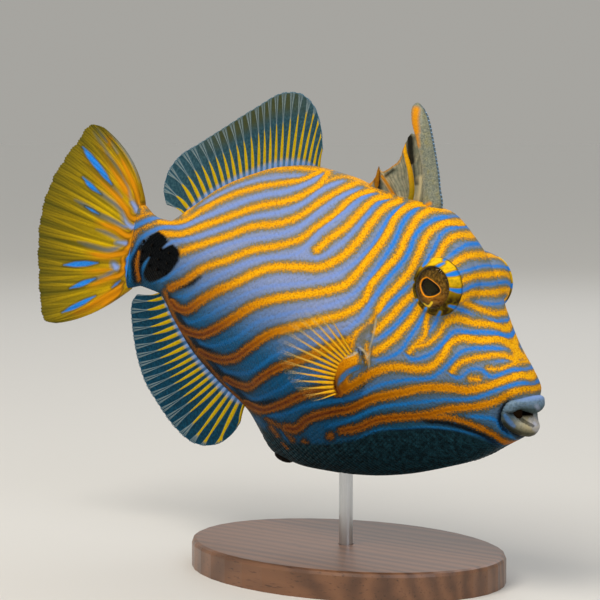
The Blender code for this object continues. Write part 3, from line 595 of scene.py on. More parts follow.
def inside(spots, outline):
    """True for the spots inside a closed outline."""
    x, y = np.moveaxis(spots, -1, 0)
    crossed = np.zeros(x.shape, bool)
    for (x0, y0), (x1, y1) in zip(outline, np.roll(outline, -1, axis=0)):
        if y0 != y1:
            crossed ^= ((y0 > y) != (y1 > y)) & (x < (x1 - x0) * (y - y0) / (y1 - y0) + x0)
    return crossed


# EDGE_INSET moves the soft edges into the stripes. FREE_GAP is the widest edge where no blue is near.
FREE_GAP, EDGE_INSET, INSIDE_FALL = 6.0, (1.4, 1.0), 2.5


def markings(points):
    """All that the coat's material needs to know about fish points, each under its own name."""
    spots = picture_place(points)
    across, down = spots.T
    blotch = from_curve(spots, np.array(BLOTCH_OUTLINE + BLOTCH_OUTLINE[:1], float))
    shade = down - np.interp(across, *zip(*SHADE_EDGE))
    orange, blue = from_lines(spots, ORANGE_LINES), from_lines(spots, BLUE_LINES, taper=14)
    gap, blue_gap = orange + EDGE_INSET[0], np.maximum(blue + EDGE_INSET[1], 0)
    outside = np.maximum(gap, 0)
    between = np.maximum(outside / (outside + blue_gap + 0.01), outside / FREE_GAP)
    return {"orange": orange, "blue": blue,
            "between": np.where(gap > 0, between, gap / INSIDE_FALL),
            "black": from_lines(spots, BLACK_LINES, 6.0, taper=9),
            "grey": from_lines(spots, PALE_CREASE_AND_HIGHLIGHT_LINES, 6.0, taper=6),
            "flap": from_lines(spots, FLAP_LINES, 6.0),
            "arc": from_lines(spots, PAD_ARC, 6.0, taper=8),
            "blotch": np.where(inside(spots, BLOTCH_OUTLINE), -blotch, np.minimum(blotch, 9)),
            "belly": np.clip(down - np.interp(across, *zip(*BELLY_EDGE)), -9, 40),
            # low darkens the lower flank: partly the fish's own colour, partly painted shade.
            "low": smooth_step(-65, 40, shade),
            # Painted shade over the lower rear of the flank, away from the face.
            "deep": smooth_step(5, 75, shade) * smooth_step(480, 330, across),
            "face": np.maximum(smooth_step(330, 400, across), 0.7 * smooth_step(200, 150, across)),
            "collar": np.zeros(len(points)), "mouth": np.zeros(len(points))}


# %% [markdown]
# ## The colours of the coat
#
# The skin and the scales share one recipe, so that the stripes run on over both. What counts is the
# share of the way from the edge of an orange stripe to the edge of the nearest blue one: orange gives
# way to a soft olive edge, and that to the blue ground. Towards the belly all colours deepen, partly
# as the fish's own colour and partly as painted shade, and the orange keeps a dark core. More painted
# shade darkens the lower rear of the flank. The chin and belly are a scaly dark teal, deepened by
# painted shade, behind a black edge. On the tail stem sits a large black blotch. The collars of the
# eyes are golden, darkened below and behind with painted shade, with painted shade in the groove at
# their foot. Pale lines mark the gill slits, and painted highlights lie on the rims of the pectoral
# pads. The mouth is dark flesh, deepened by painted shade. Small grains speckle the stripes. A real
# fish has them at about 0.3 mm. They are drawn at 0.5 mm, since finer ones would not show. The slime
# on a fish's skin makes it glossy, but it is kept nearly matt here, because a pale room mirrored in it
# would wash out the colours.

# %% Coat finish
GRAINS_PER_MM, FLECK_MM, RAGGED_SHARE = 2.0, 1.8, 0.28
# Each pair is a colour of the upper flank and its darker form near the belly, partly its own and partly
# painted shade.
STRIPE, STRIPE_GRAIN, STRIPE_CORE = ("F2A608", "B46800"), ("B86A04", "7E4000"), ("FFA60C", "602800")
OLIVE, OLIVE_ON_FACE = ("787450", "20261C"), ("6A6E54", "24291E")
GROUND, GROUND_ON_FACE, DUSTY = ("8C9CCC", "0F5A8A"), ("7486A0", "144C6C"), ("8C98AE", "2A4A58")
BLUE_ON_TRUNK, BLUE_ON_FACE = ("7E98D6", "1266A4"), ("2480DC", "1266A4")
GROUND_GRAIN = ("72829E", "08324C")
STRIPE_GLOW, FLAP, ARC, ARC_EDGE = "FFBE14", "6A685A", "1C68A0", "4C4418"
# BELLY_DARK is the belly's own dark teal, deepened by painted shade.
# DEEP_SHADE is painted shade over the lower rear of the flank.
BLACK, DEEP_SHADE, BELLY_DARK, BELLY_PALE = "030507", "04121C", "071A20", "173842"
# COLLAR_SHADED is the collar's gold darkened by painted shade on its lower and rear side.
COLLAR_SHADED, COLLAR_OLIVE, COLLAR_HIGH = "36280A", "8C7410", "F8C414"
# PALE_CREASE_AND_HIGHLIGHT draws the pale gill crease and painted highlights on the pads' rims.
# The mouth is dark brown flesh, deepened by painted shade.
MOUTH_FLESH_IN_SHADE, PALE_CREASE_AND_HIGHLIGHT = "1C1004", "C8BC9C"


def striped_coat(name, relief, **constants):
    """Stripes, belly and blotch, as a finish for a mesh that carries the markings."""
    finish, tree, field, room, grain = grained_finish(
        name, ("orange", "blue", "between", "black", "grey", "flap", "arc", "blotch", "belly", "low", "deep",
               "face", "collar", "mouth"), (GRAINS_PER_MM, 1.0), (relief, 0.12), **constants)
    fleck = add(tree, "ShaderNodeTexNoise", {"Vector": room, "Scale": 1 / (FLECK_MM * MM), "Detail": 3.0,
                                             "Roughness": 0.65}).outputs["Fac"]
    ragged, uneven = (add(tree, "ShaderNodeMapRange", {"Value": value, "From Min": 0.3, "From Max": 0.7,
                                                       "To Min": -most, "To Max": most}).outputs[0]
                      for value, most in ((grain, 1.0), (fleck, 0.12)))
    edge = {key: add(tree, "ShaderNodeMath", {0: ragged, 1: field[key]}, operation="ADD").outputs[0]
            for key in ("orange", "blue", "black", "blotch", "belly")}
    share = add(tree, "ShaderNodeMath", {0: ragged, 1: RAGGED_SHARE, 2: field["between"]},
                operation="MULTIPLY_ADD").outputs[0]
    share = add(tree, "ShaderNodeMath", {0: share, 1: uneven}, operation="ADD").outputs[0]

    def by_height(upper, lower):
        """A colour of the upper flank that gives way to a darker one towards the belly, partly painted shade.
        """
        return lay_colours(tree, upper, (lower, (field["low"], 0, 1, 1)))

    def by_region(trunk, face):
        """A pair of colours for the trunk that gives way to a second pair on the face."""
        return lay_colours(tree, by_height(*trunk), (by_height(*face), (field["face"], 0, 1, 1)))

    # The belly's dark teal, deepened by painted shade, with paler flecks.
    belly = lay_colours(tree, BELLY_DARK, (BELLY_PALE, (fleck, 0.4, 0.7, 1)))
    # The collar's gold, darkened with painted shade where the collar field is low.
    gold = lay_colours(tree, COLLAR_SHADED, (COLLAR_HIGH, (field["collar"], 0.55, 0.95, 1)))
    on_ground, on_collar = (share, 0.5, 0.8, 1), (field["collar"], 0.2, 0.45, 1)
    paint(
        tree, by_height(*STRIPE),
        (by_height(*STRIPE_CORE), (edge["orange"], -1.6, -4.2, 1), (field["low"], 0, 1, 1)),
        (STRIPE_GLOW, (field["orange"], -1.4, -3.8, 0.8), (field["low"], 0.5, 0.1, 1)),
        (by_height(*STRIPE_GRAIN), (grain, 0.47, 0.66, 0.7)),
        (by_region(OLIVE, OLIVE_ON_FACE), (share, -0.3, 0.46, 1)),
        (by_region(GROUND, GROUND_ON_FACE), (share, 0.42, 1.0, 1)),
        (by_height(*GROUND_GRAIN), on_ground, (grain, 0.48, 0.66, 0.7)),
        (by_height(*DUSTY), on_ground, (fleck, 0.42, 0.78, 0.6)),
        (by_region(BLUE_ON_TRUNK, BLUE_ON_FACE), (edge["blue"], 0.6, -1.5, 0.95), (share, 0.2, 0.5, 1)),
        (ARC_EDGE, (field["arc"], 2.4, 0.2, 0.75)),
        (ARC, (field["arc"], 0.8, -1.2, 1), (grain, 0.72, 0.5, 0.95)),
        (FLAP, (field["flap"], 1.5, -2.5, 0.8)),
        # A pale line along the gill slit, and painted highlights on the rims of the pads.
        (PALE_CREASE_AND_HIGHLIGHT, (field["grey"], 0.7, -0.4, 0.65)),
        (BLACK, (edge["black"], 2.4, -0.8, 0.92), (share, -0.1, 0.3, 1)),
        # Painted shade over the lower rear of the flank.
        (DEEP_SHADE, (field["deep"], 0, 1, 0.42)),
        # The belly's dark teal, deepened by painted shade.
        (belly, (edge["belly"], -1.5, 2.5, 1), (edge["orange"], -1.2, 0.2, 1)),
        (BLACK, (edge["blotch"], 1.6, -1.0, 1), (field["blue"], -0.6, 1.2, 1)),
        # The collar's gold, darkened below and behind with painted shade.
        (gold, on_collar),
        (COLLAR_OLIVE, on_collar, (fleck, 0.45, 0.66, 0.55)),
        (COLLAR_OLIVE, on_collar, (field["blue"], 2.6, 1.4, 0.7)),
        (BLUE_ON_FACE[0], on_collar, (field["blue"], 1.3, 0.1, 1)),
        # Painted shade in the groove at the collar's foot.
        (BLACK, on_collar, (field["black"], 1.4, -0.4, 0.6)),
        # Dark flesh in the mouth, deepened by painted shade.
        (MOUTH_FLESH_IN_SHADE, (field["mouth"], 0, 1, 1)))
    return finish


# %% [markdown]
# ## One skin
#
# The skin is a single closed loft, so no seam shows where head, trunk and tail stem meet in the
# solids. Its stations stand closest over the face. Every mesh of the model comes from a grid of
# points or a list of them, so one function makes the faces of a grid and another one a piece. A map
# called OFBake unrolls a piece, so that its markings can be painted onto a texture later.

# %% Mesh helpers
def new_piece(name, points, faces, finish, bake=None, fields=None):
    """A smooth mesh of a grid or list of fish points, riding on the fish.

    bake holds one (u, v) for each corner, and fields one value for each point."""
    points = np.asarray(points)
    mesh = bpy.data.meshes.new(name)
    mesh.from_pydata(place(points).reshape(-1, 3).tolist(), [], faces)
    mesh.shade_smooth()
    mesh.materials.append(finish)
    if bake is not None:
        mesh.uv_layers.new(name="OFBake").data.foreach_set("uv", np.asarray(bake, np.float32).ravel())
    for field, values in (fields or {}).items():
        values = np.broadcast_to(np.asarray(values, np.float32), points.shape[:-1]).flatten()
        mesh.attributes.new(field, "FLOAT", "POINT").data.foreach_set("value", values)
    piece = bpy.data.objects.new(name, mesh)
    bpy.context.scene.collection.objects.link(piece)
    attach(piece, "root")
    return piece


def grid_faces(rows, columns, start=0, wrap=False, flip=False):
    """The quads of a grid of points, and a square of the map for each, from (0, 0) to (1, 1)."""
    faces, bake = [], []
    for r in range(rows - 1):
        for c in range(columns if wrap else columns - 1):
            d = (c + 1) % columns
            corners = [(r, c, c), (r + 1, c, c), (r + 1, d, c + 1), (r, d, c + 1)]
            if flip:
                corners.reverse()
            faces.append(tuple(start + i * columns + j for i, j, _ in corners))
            bake += [(k / columns, i / (rows - 1)) for i, _, k in corners]
    return faces, np.array(bake)


# %% [markdown]
# At the front the skin folds inwards into the mouth. What lies within the lips is swept back to
# their curved line, so that the lips stand on it and nothing of the snout shows between them.

# %% Skin loft and mouth
FACE_STATIONS, TRUNK_STATIONS, FLANK_STEPS = 175, 195, 130
FACE_END = 70
stations = np.concatenate([np.linspace(FIRST_STATION, FACE_END, FACE_STATIONS, endpoint=False),
                           np.linspace(FACE_END, BODY_LENGTH, TRUNK_STATIONS)])
right_flank = surface(*np.meshgrid(stations, np.linspace(0, 1, FLANK_STEPS), indexing="ij"))[0]
rings = np.concatenate([right_flank, right_flank[:, ::-1] * (1, -1, 1)], axis=1)

# Each fold has its depth behind the front of the skin, and its size as a share of the front ring.
MOUTH_FOLDS = [(7.2, 0.05), (6.0, 0.3), (3.5, 0.5), (1.2, 0.6), (0.6, 0.75)]
MOUTH_FLATTENED, MOUTH_SET_BACK, MOUTH_SWEEP, MOUTH_ROUNDING = 0.72, 0.8, 4.9, 0.4
LIP_HALF_WIDTH, MOUTH_HALF_WIDTH, MOUTH_HALF_HEIGHT = 7.4, 6.6, 3.4
mouth_middle = np.array([0, 0, LIP_Z])
folds = [mouth_middle + (rings[0] - mouth_middle) * (0, share, share * MOUTH_FLATTENED)
         + (FIRST_STATION + depth, 0, 0) for depth, share in MOUTH_FOLDS]
rings = np.concatenate([np.array(folds), rings])
ROWS, RING = rings.shape[:2]
skin_faces, skin_bake = grid_faces(ROWS, RING, wrap=True)
skin_bake *= (0.9, 1)
for ring_ends in (range(RING - 1, -1, -1), range((ROWS - 1) * RING, ROWS * RING)):
    skin_faces.append(tuple(ring_ends))
    skin_bake = np.vstack([skin_bake, np.tile((0.903, 0.999), (RING, 1))])

ring_x, ring_y, ring_z = np.moveaxis(rings, -1, 0).copy()
is_fold = np.arange(ROWS)[:, None] < len(MOUTH_FOLDS)
from_opening = np.hypot((ring_z - LIP_Z) / MOUTH_HALF_HEIGHT, ring_y / MOUTH_HALF_WIDTH)
within_lips = smooth_step(1.15, 1.0, from_opening)
mouth_floor = FIRST_STATION + MOUTH_SET_BACK + MOUTH_SWEEP * (ring_y / LIP_HALF_WIDTH) ** 2
from_floor = ring_x - mouth_floor
swept = np.where(is_fold, ring_x + mouth_floor - FIRST_STATION,
                 mouth_floor + 0.5 * (from_floor + np.hypot(from_floor, MOUTH_ROUNDING)))
rings[..., 0] += (swept - ring_x) * np.where(is_fold, 1, within_lips)
# in_mouth marks the folds and the floor within the lips, painted as dark flesh deepened by painted shade.
in_mouth = np.where(is_fold, 1, within_lips * smooth_step(11, 10, rings[..., 0])).ravel()
print("skin loft:", ROWS, "rings of", RING, "points")

# %% [markdown]
# The eyes stand on low round turrets, too steep for a loft of heights. So each is turned on a lathe,
# as a smooth collar with a groove at its foot, and belongs to the same skin.

# %% Eye collars and skin
# The collar's outline, as distances from the axis of the eye and from the midplane of the fish.
COLLAR = [(6.0, 1.0), (9.4, 3.4), (11.1, 5.8), (11.5, 8.2), (11.2, 10.2), (10.7, 11.9), (10.5, 12.7),
          (10.2, 13.5), (9.85, 14.0), (9.72, 14.4), (9.86, 14.9), (9.62, 15.6), (9.15, 16.4), (8.65, 17.15),
          (8.2, 17.75), (7.8, 18.1), (7.45, 18.15), (7.2, 17.95), (7.1, 17.5), (7.15, 16.6), (7.3, 15.2)]
COLLAR_STEPS, COLLAR_ROWS, COLLAR_FOOT, COLLAR_WRINKLE = 144, 72, 14.3, 0.05
turn = np.linspace(0, 2 * math.pi, COLLAR_STEPS, endpoint=False)
radius, reach = along(COLLAR, np.linspace(0, 1, COLLAR_ROWS), 0.05).T[..., None]
wrinkle = COLLAR_WRINKLE * np.sin(turn * 17 + 3 * np.sin(turn * 2)) * smooth_step(16.8, 14, reach)
collar_x, collar_z = (radius + wrinkle) * np.cos(turn), (radius + wrinkle) * np.sin(turn)
# The collar is gold at its upper front and darkened below and behind with painted shade.
golden = 0.5 + 0.5 * smooth_step(-4.5, 8, collar_z) * smooth_step(9, 3, collar_x)
on_collar = (golden * smooth_step(COLLAR_FOOT - 0.5, COLLAR_FOOT, reach)).ravel()
# Painted shade in the groove at the collar's foot, carried by the black field.
groove = np.broadcast_to(np.abs(reach - COLLAR_FOOT) * 5 - 0.6, collar_x.shape).ravel()
skin_points = rings.reshape(-1, 3)
for side in (-1, 1):
    collar = np.stack([EYE_X + collar_x, side * reach + 0 * turn, EYE_Z + collar_z], axis=-1)
    faces, bake = grid_faces(COLLAR_ROWS, COLLAR_STEPS, len(skin_points), wrap=True, flip=side > 0)
    skin_faces += faces
    skin_bake = np.vstack([skin_bake, bake * (0.09, 0.45) + (0.907, 0.02 if side < 0 else 0.52)])
    skin_points = np.vstack([skin_points, collar.reshape(-1, 3)])

skin_finish = striped_coat("striped_skin", 0.5, Roughness=0.5, Specular_IOR_Level=0.03)
skin_fields = markings(skin_points)
skin_fields["mouth"][:ROWS * RING] = in_mouth
skin_fields["collar"][ROWS * RING:] = np.tile(on_collar, 2)
# On the collar the black field holds the painted shade of its groove.
skin_fields["black"][ROWS * RING:] = np.where(np.tile(on_collar, 2) > 0, np.tile(groove, 2),
                                              skin_fields["black"][ROWS * RING:])
skin = new_piece("skin", skin_points, skin_faces, skin_finish, skin_bake, skin_fields)
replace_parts(skin, "head", "torso", "tail_stem")
print("skin faces:", len(skin_faces))

# %% [markdown]
# ## Scales
#
# A triggerfish wears small hard plates in slanting rows, with a grainy face. Each is built here as a
# low closed rhombus, domed and sunk into the skin at its rim. They are set on a lattice: stations
# along the fish, and even steps from crest to keel, every second row shifted by half a step. They
# are smallest on the face. The lips, eye collars, pads, nostrils and gill slits stay bare.

# %% Where the scales lie
SCALE_ON_TRUNK, SCALE_ON_FACE = 2.3, 1.55
SCALE_SIZES = [(8, SCALE_ON_FACE * 0.85), (30, SCALE_ON_FACE), (60, 1.8), (85, SCALE_ON_TRUNK),
               (150, SCALE_ON_TRUNK), (190, 1.7)]
FIRST_ROW, STEM_BARE, CREST_AND_KEEL_BARE = 9.0, 1.5, 0.012
SLIT_BARE = 2.0
# A bare patch has its middle, how much taller than wide it is, and half its width.
BARE_PATCHES = [(EYE_X, EYE_Z, 1, 11.2), (PAD_X, PAD_Z, 1.6, 6.2)] + [(x, z, 1, 1.5) for x, z in NOSTRILS]


def scale_size(x):
    """The diagonal of a scale, in millimetres, at a place along the fish."""
    return np.interp(x, *zip(*SCALE_SIZES))


spots_x, spots_share = [], []
x_row, odd = FIRST_ROW, False
while x_row < BODY_LENGTH - STEM_BARE:
    count = int(np.interp(x_row, TABLE_STATIONS, girth_table) / scale_size(x_row))
    row = (np.arange(count) + (0.75 if odd else 0.25)) / (count + 0.25)
    spots_share.append(row[(row > CREST_AND_KEEL_BARE) & (row < 1 - CREST_AND_KEEL_BARE)])
    spots_x.append(np.full(len(spots_share[-1]), x_row))
    x_row += scale_size(x_row) / 2
    odd = not odd
spots_x, spots_share = np.concatenate(spots_x), np.concatenate(spots_share)
centre_x, _, centre_z = surface(spots_x, spots_share)[0].T
bare = np.abs(centre_x - np.interp(centre_z, *zip(*SLIT_LINE))) < SLIT_BARE
bare &= (centre_z > SLIT_FOOT[0]) & (centre_z < SLIT_TOP[1] - 1)
for x, z, tallness, radius in BARE_PATCHES:
    bare |= np.hypot(centre_x - x, (centre_z - z) / tallness) < radius
spots_x, spots_share = spots_x[~bare], spots_share[~bare]
print("plates on each flank:", len(spots_x))

# %% [markdown]
# A plate has a sunken rim, a shoulder inside it and a peak, over a point below the skin. Plates
# overlap a little, and they differ slightly in size and in height. Those of the belly stand up more.

# %% Scale plates
PLATE_CORNERS, PLATE_OVERLAP, PATCH = 8, 0.54, 0.003
turn = np.arange(PLATE_CORNERS) * 2 * math.pi / PLATE_CORNERS
rim = np.array([np.cos(turn), np.sin(turn)])
rim = np.sign(rim) * np.abs(rim) ** 1.5
plate_a, plate_b = np.hstack([rim, rim * 0.8, np.zeros((2, 2))])
plate_rise = np.array([-0.04] * PLATE_CORNERS + [0.075] * PLATE_CORNERS + [0.12, -0.12])
PLATE_POINTS, PEAK, UNDER = len(plate_rise), 2 * PLATE_CORNERS, 2 * PLATE_CORNERS + 1
plate_faces = []
for k in range(PLATE_CORNERS):
    n = (k + 1) % PLATE_CORNERS
    shoulder, next_shoulder = PLATE_CORNERS + k, PLATE_CORNERS + n
    plate_faces += [(k, shoulder, next_shoulder, n), (shoulder, PEAK, next_shoulder), (k, n, UNDER)]
rng = np.random.default_rng(7)


def scale_piece(name, chosen, side):
    """All scales of one region of one flank, as one mesh."""
    x, share = spots_x[chosen], spots_share[chosen]
    size = scale_size(x) * rng.uniform(0.9, 1.0, len(x))
    girth = np.interp(x, TABLE_STATIONS, girth_table)
    points, out = surface(x[:, None] + plate_a * size[:, None] * PLATE_OVERLAP,
                          share[:, None] + plate_b * (size / girth)[:, None] * PLATE_OVERLAP)
    on_belly = smooth_step(-2, 12, markings(points[:, PEAK])["belly"])[:, None]
    lift = plate_rise * (0.45 + 1.2 * on_belly) + 0.05 * plate_a * on_belly
    lift = lift * rng.uniform(0.6, 1.4, len(x))[:, None]
    points = (points + out * lift[..., None]).reshape(-1, 3)
    fields = markings(points)
    # Each plate also carries a number of its own. The coat doesn't read it, a later one may.
    fields["tone"] = np.repeat(rng.uniform(0, 1, len(x)), PLATE_POINTS)
    if side > 0:
        points = points * (1, -1, 1)
    faces, bake = [], []
    map_u = 0.9 * np.where(side < 0, share * 0.5, 1 - share * 0.5)
    map_v = (len(MOUTH_FOLDS) + np.interp(x, stations, np.arange(len(stations)))) / ROWS
    for i in range(len(x)):
        for face in plate_faces:
            face = face if side > 0 else face[::-1]
            faces.append(tuple(PLATE_POINTS * i + k for k in face))
            bake += [(map_u[i] + PATCH / 2 * plate_b[k], map_v[i] + PATCH / 2 * plate_a[k]) for k in face]
    return new_piece(name, points, faces, scale_finish, bake, fields)


scale_finish = striped_coat("striped_scales", 0.6, Roughness=0.45, Specular_IOR_Level=0.04)
for side, flank_name in ((-1, "right"), (1, "left")):
    for region, low_x, high_x in (("face", 0, 45), ("cheek", 45, 82), ("trunk", 82, 200)):
        chosen = (spots_x >= low_x) & (spots_x < high_x)
        made = scale_piece(f"scales_{region}_{flank_name}", chosen, side)
        print(made.name, "plates:", int(chosen.sum()))

# %% [markdown]
# ## Lips
#
# The small mouth is ringed by thick, leathery lips with fine folds that run into the mouth. They are
# one tube bent into a flat ring, thickest at the middle of each lip. Its two halves lie almost on one
# another, with a narrow gap between them that closes towards the corners. The folds are ripples round
# the ring that fade towards its outer side.

# %% Shape of the lips
LIP_FRONT_X, LIP_SWEEP, LOWER_LIP_SET_BACK, LIP_GAP = 4.2, 4.9, 0.7, 0.5
LIP_R, LOWER_LIP_R, LIP_CORNER_R, LIP_SUNK = 3.15, 3.7, 1.45, 0.12
LIP_STEPS, LIP_SIDES, LIP_FOLDS = 300, 64, 34


def unit(vectors):
    """The same directions with a length of 1."""
    return vectors / np.linalg.norm(vectors, axis=-1, keepdims=True)


lip_turn = np.linspace(0, 2 * math.pi, LIP_STEPS, endpoint=False)[:, None]
tube_turn = np.linspace(0, 2 * math.pi, LIP_SIDES, endpoint=False)[None, :]
lip_up, lip_out = np.cos(lip_turn), np.sin(lip_turn)
lip_thick = LIP_CORNER_R + (np.where(lip_up > 0, LIP_R, LOWER_LIP_R) - LIP_CORNER_R) * np.abs(lip_up) ** 0.8
lip_rise = np.sign(lip_up) * (lip_thick * smooth_step(0, 0.6, np.abs(lip_up)) + LIP_GAP * lip_up**2)
lip_middle = np.stack([LIP_FRONT_X + LIP_SWEEP * lip_out**2 + LOWER_LIP_SET_BACK * (1 - lip_up) / 2,
                       LIP_HALF_WIDTH * lip_out, LIP_Z + lip_rise], axis=-1)
outward = unit(np.stack([np.full_like(lip_up, -0.25), lip_out, lip_up], axis=-1))
ahead = np.array([-1.0, 0, 0])
forward = unit(ahead - outward * (outward @ ahead)[..., None])
inner = 0.5 - 0.5 * np.cos(tube_turn - 0.6)
fold = np.sin(lip_turn * LIP_FOLDS + 1.2 * np.sin(lip_turn * 5)) * (0.03 + 0.08 * inner**2)
ripple = 0.09 * np.sin(tube_turn * 5 + 2 * lip_out) * (1 - inner)
lip_normal = outward * np.cos(tube_turn)[..., None] + forward * np.sin(tube_turn)[..., None]
lip_points = lip_middle + (lip_thick - LIP_SUNK + fold + ripple)[..., None] * lip_normal
lip_faces, lip_bake = [], []
for i in range(LIP_STEPS):
    for k in range(LIP_SIDES):
        corners = [(i, k), (i, k + 1), (i + 1, k + 1), (i + 1, k)]
        lip_faces.append(tuple(a % LIP_STEPS * LIP_SIDES + b % LIP_SIDES for a, b in corners))
        lip_bake += [(a / LIP_STEPS, b / LIP_SIDES) for a, b in corners]
print("lips:", len(lip_faces), "faces, thickest", round(float(lip_thick.max()), 1), "mm")

# %% [markdown]
# The upper lip is blue on top, partly its own colour and partly a painted highlight, and slate below,
# darkening underneath into painted shade. The lower one is tan in its middle, slate towards the
# corners and darkened underneath with painted shade. A blue streak runs over the near corner, a pale
# painted highlight lies on the front and a crease of painted shade runs down the lower lip. The inner
# sides are dark flesh, deepened with painted shade. The lips are leather rather than scale, so they
# shine a little more than the skin, and their pores are about 0.4 mm.

# %% Colours of the lips
LIP_BLUE = [(1.3, [(505, 415.5), (508.5, 420.5), (514, 426)])]
# Painted highlights on the fronts of the lips.
LIP_HIGHLIGHT = [(3.4, [(533, 421), (537, 427)]), (0.3, [(536.5, 406), (538, 408)])]
LIP_DARK = [(2.8, [(504, 424), (510, 430), (518, 435)]), (1.1, [(508, 413.5), (513, 413.5), (519, 414)])]
# A crease of painted shade down the lower lip.
LIP_CREASE_SHADE = [(0.9, [(520.5, 419), (526, 422.5), (533, 426)])]
lip_finish, tree, field, room, mottle = grained_finish(
    "leathery_lip", ("into", "upper", "sky", "lip_blue", "lip_highlight", "lip_dark", "lip_crease_shade"),
    (1.1, 3.0), (0.5, 0.2), Roughness=0.45, Specular_IOR_Level=0.12)
pores = add(tree, "ShaderNodeTexNoise", {"Vector": room, "Scale": 2.4 / MM, "Detail": 1.0}).outputs["Fac"]
lower_lip = lay_colours(tree, "B4A884",
                        ("8A8468", (mottle, 0.42, 0.66, 0.7)),
                        ("D0C8A8", (pores, 0.5, 0.7, 0.5)),
                        # Painted shade on the underside of the lower lip.
                        ("26281A", (field["sky"], 0.15, -0.5, 0.92)))
paint(tree, "6C869E",
      ("4E6472", (mottle, 0.42, 0.66, 0.7)),
      ("8E9A9C", (pores, 0.5, 0.7, 0.4)),
      # Blue on top of the upper lip, partly its own colour and partly a painted highlight.
      ("7A9CDC", (field["sky"], 0.6, 0.98, 0.85)),
      # Slate, darkening into painted shade where the lip faces down.
      ("2E3C38", (field["sky"], 0.5, -0.25, 0.9)),
      (lower_lip, (field["upper"], -0.25, -0.85, 1)),
      # Painted highlights on the fronts of the lips.
      ("B6BCD6", (field["lip_highlight"], 2.4, -2.4, 0.7)),
      ("1A1D14", (field["lip_dark"], 1.3, -0.8, 0.9)),
      # Painted shade in the crease of the lower lip.
      ("1A1D14", (field["lip_crease_shade"], 0.7, -0.2, 0.9)),
      ("3A78BE", (field["lip_blue"], 1.2, -1.2, 0.8)),
      # The inner sides facing into the mouth: dark flesh, deepened by painted shade.
      ("20160C", (field["into"], 0, 1, 0.95)))
lip_spots, near_spots = picture_place(lip_points, mirrored=False), picture_place(lip_points)
lip_fields = {"lip_blue": from_lines(near_spots, LIP_BLUE, 7, taper=5),
              "lip_highlight": from_lines(lip_spots, LIP_HIGHLIGHT, 7, taper=3),
              "lip_dark": from_lines(near_spots, LIP_DARK, 7),
              "lip_crease_shade": from_lines(lip_spots, LIP_CREASE_SHADE, 7, taper=3),
              # sky is how far the lip faces up: it places a painted highlight on top and painted shade
              # underneath.
              "sky": lip_normal[..., 2], "into": smooth_step(0.6, 0.97, inner), "upper": lip_up}
lips = new_piece("lips", lip_points, lip_faces, lip_finish, lip_bake, lip_fields)
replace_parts(lips, "upper_lip", "lower_lip")
print(lips.name, "wear", lip_finish.name)

# %% [markdown]
# ## Eyes
#
# A fish's eye has a flat iris, a pupil that in this fish is a rounded triangle with a bright rim, and
# a clear domed cornea that bulges over both. The iris is a disc with a shallow bowl, its pupil sunk
# a little deeper. The outline of the pupil was drawn in pixels and is carried back along the sight
# lines onto the plane of the iris. The iris is golden brown with flecks of about 1 mm, olive above
# and dark round its outer part, with a small yellow painted highlight under the pupil.

# %% Iris and pupil
EYE_RADIUS, IRIS_Y, IRIS_RINGS, IRIS_STEPS = 7.15, 16.7, 60, 160
PUPIL_OUTLINE = [(427, 278), (433, 282), (439, 288), (440, 291), (437, 294), (431, 296), (425, 295),
                 (422, 290), (421, 285), (423, 280)]
# The small yellow glint under the pupil is a painted highlight.
PAINTED_GLINT = [(424.5, 304), (428, 306.5), (430.5, 305.5), (432.5, 302.5)]
camera_fish = fish_place([camera_place])[0]


def on_iris(px, py):
    """Where the sight line of a pixel meets the plane of the right iris: (x, z) in millimetres."""
    ray = fish_place([camera_place + sight_line(px, py)])[0] - camera_fish
    hit = camera_fish + ray * (-IRIS_Y - camera_fish[1]) / ray[1]
    return hit[0], hit[2]


pupil = smooth_curve([on_iris(*p) for p in PUPIL_OUTLINE + PUPIL_OUTLINE[:1]], 0.1)
print("pupil about", np.round(pupil.mean(axis=0), 1), "across", np.round(np.ptp(pupil, axis=0), 1))
iris_r = np.linspace(0, EYE_RADIUS + 0.2, IRIS_RINGS)[:, None]
iris_turn = np.linspace(0, 2 * math.pi, IRIS_STEPS, endpoint=False)[None, :]
iris_x, iris_z = EYE_X + iris_r * np.cos(iris_turn), EYE_Z + iris_r * np.sin(iris_turn)
iris_spots = np.stack([iris_x, iris_z], axis=-1)
from_pupil = from_curve(iris_spots, pupil)
from_pupil = np.where(inside(iris_spots, pupil), -from_pupil, from_pupil)
painted_glint_line = np.array([on_iris(*p) for p in PAINTED_GLINT])
iris_fields = {"from_pupil": from_pupil, "reach": iris_r / EYE_RADIUS,
               "height": smooth_step(-5, 6, iris_z - EYE_Z), "painted_glint": from_curve(iris_spots, painted_glint_line)}

iris_finish, tree, field, _, flecks = grained_finish(
    "golden_iris", iris_fields, (1.0, 4.0), (0.4, 0.15), Roughness=0.35, Specular_IOR_Level=0.1)
paint(tree, "6A450A",
      ("4A4018", (field["height"], 0, 1, 0.6)),
      ("A4640C", (field["height"], 0.4, 0.0, 0.6)),
      ("9A7426", (flecks, 0.46, 0.62, 0.75)),
      ("2A1C06", (flecks, 0.48, 0.36, 0.7)),
      ("1C1406", (field["reach"], 0.68, 0.95, 0.85)),
      ("94825A", (field["reach"], 0.94, 1.0, 0.7)),
      # A painted highlight under the pupil.
      ("FFDC30", (field["painted_glint"], 0.6, 0.25, 0.95)),
      ("FFA400", (field["from_pupil"], 0.62, 0.35, 1)),
      ("140D04", (field["from_pupil"], 0.12, -0.02, 1)),
      ("22240E", (field["from_pupil"], -0.7, -1.6, 0.8)))

# %% [markdown]
# The cornea is a separate clear shell with an outer and an inner face. Under water it hardly
# reflects, so its index is set far below that of glass, and the iris shows through it undimmed.

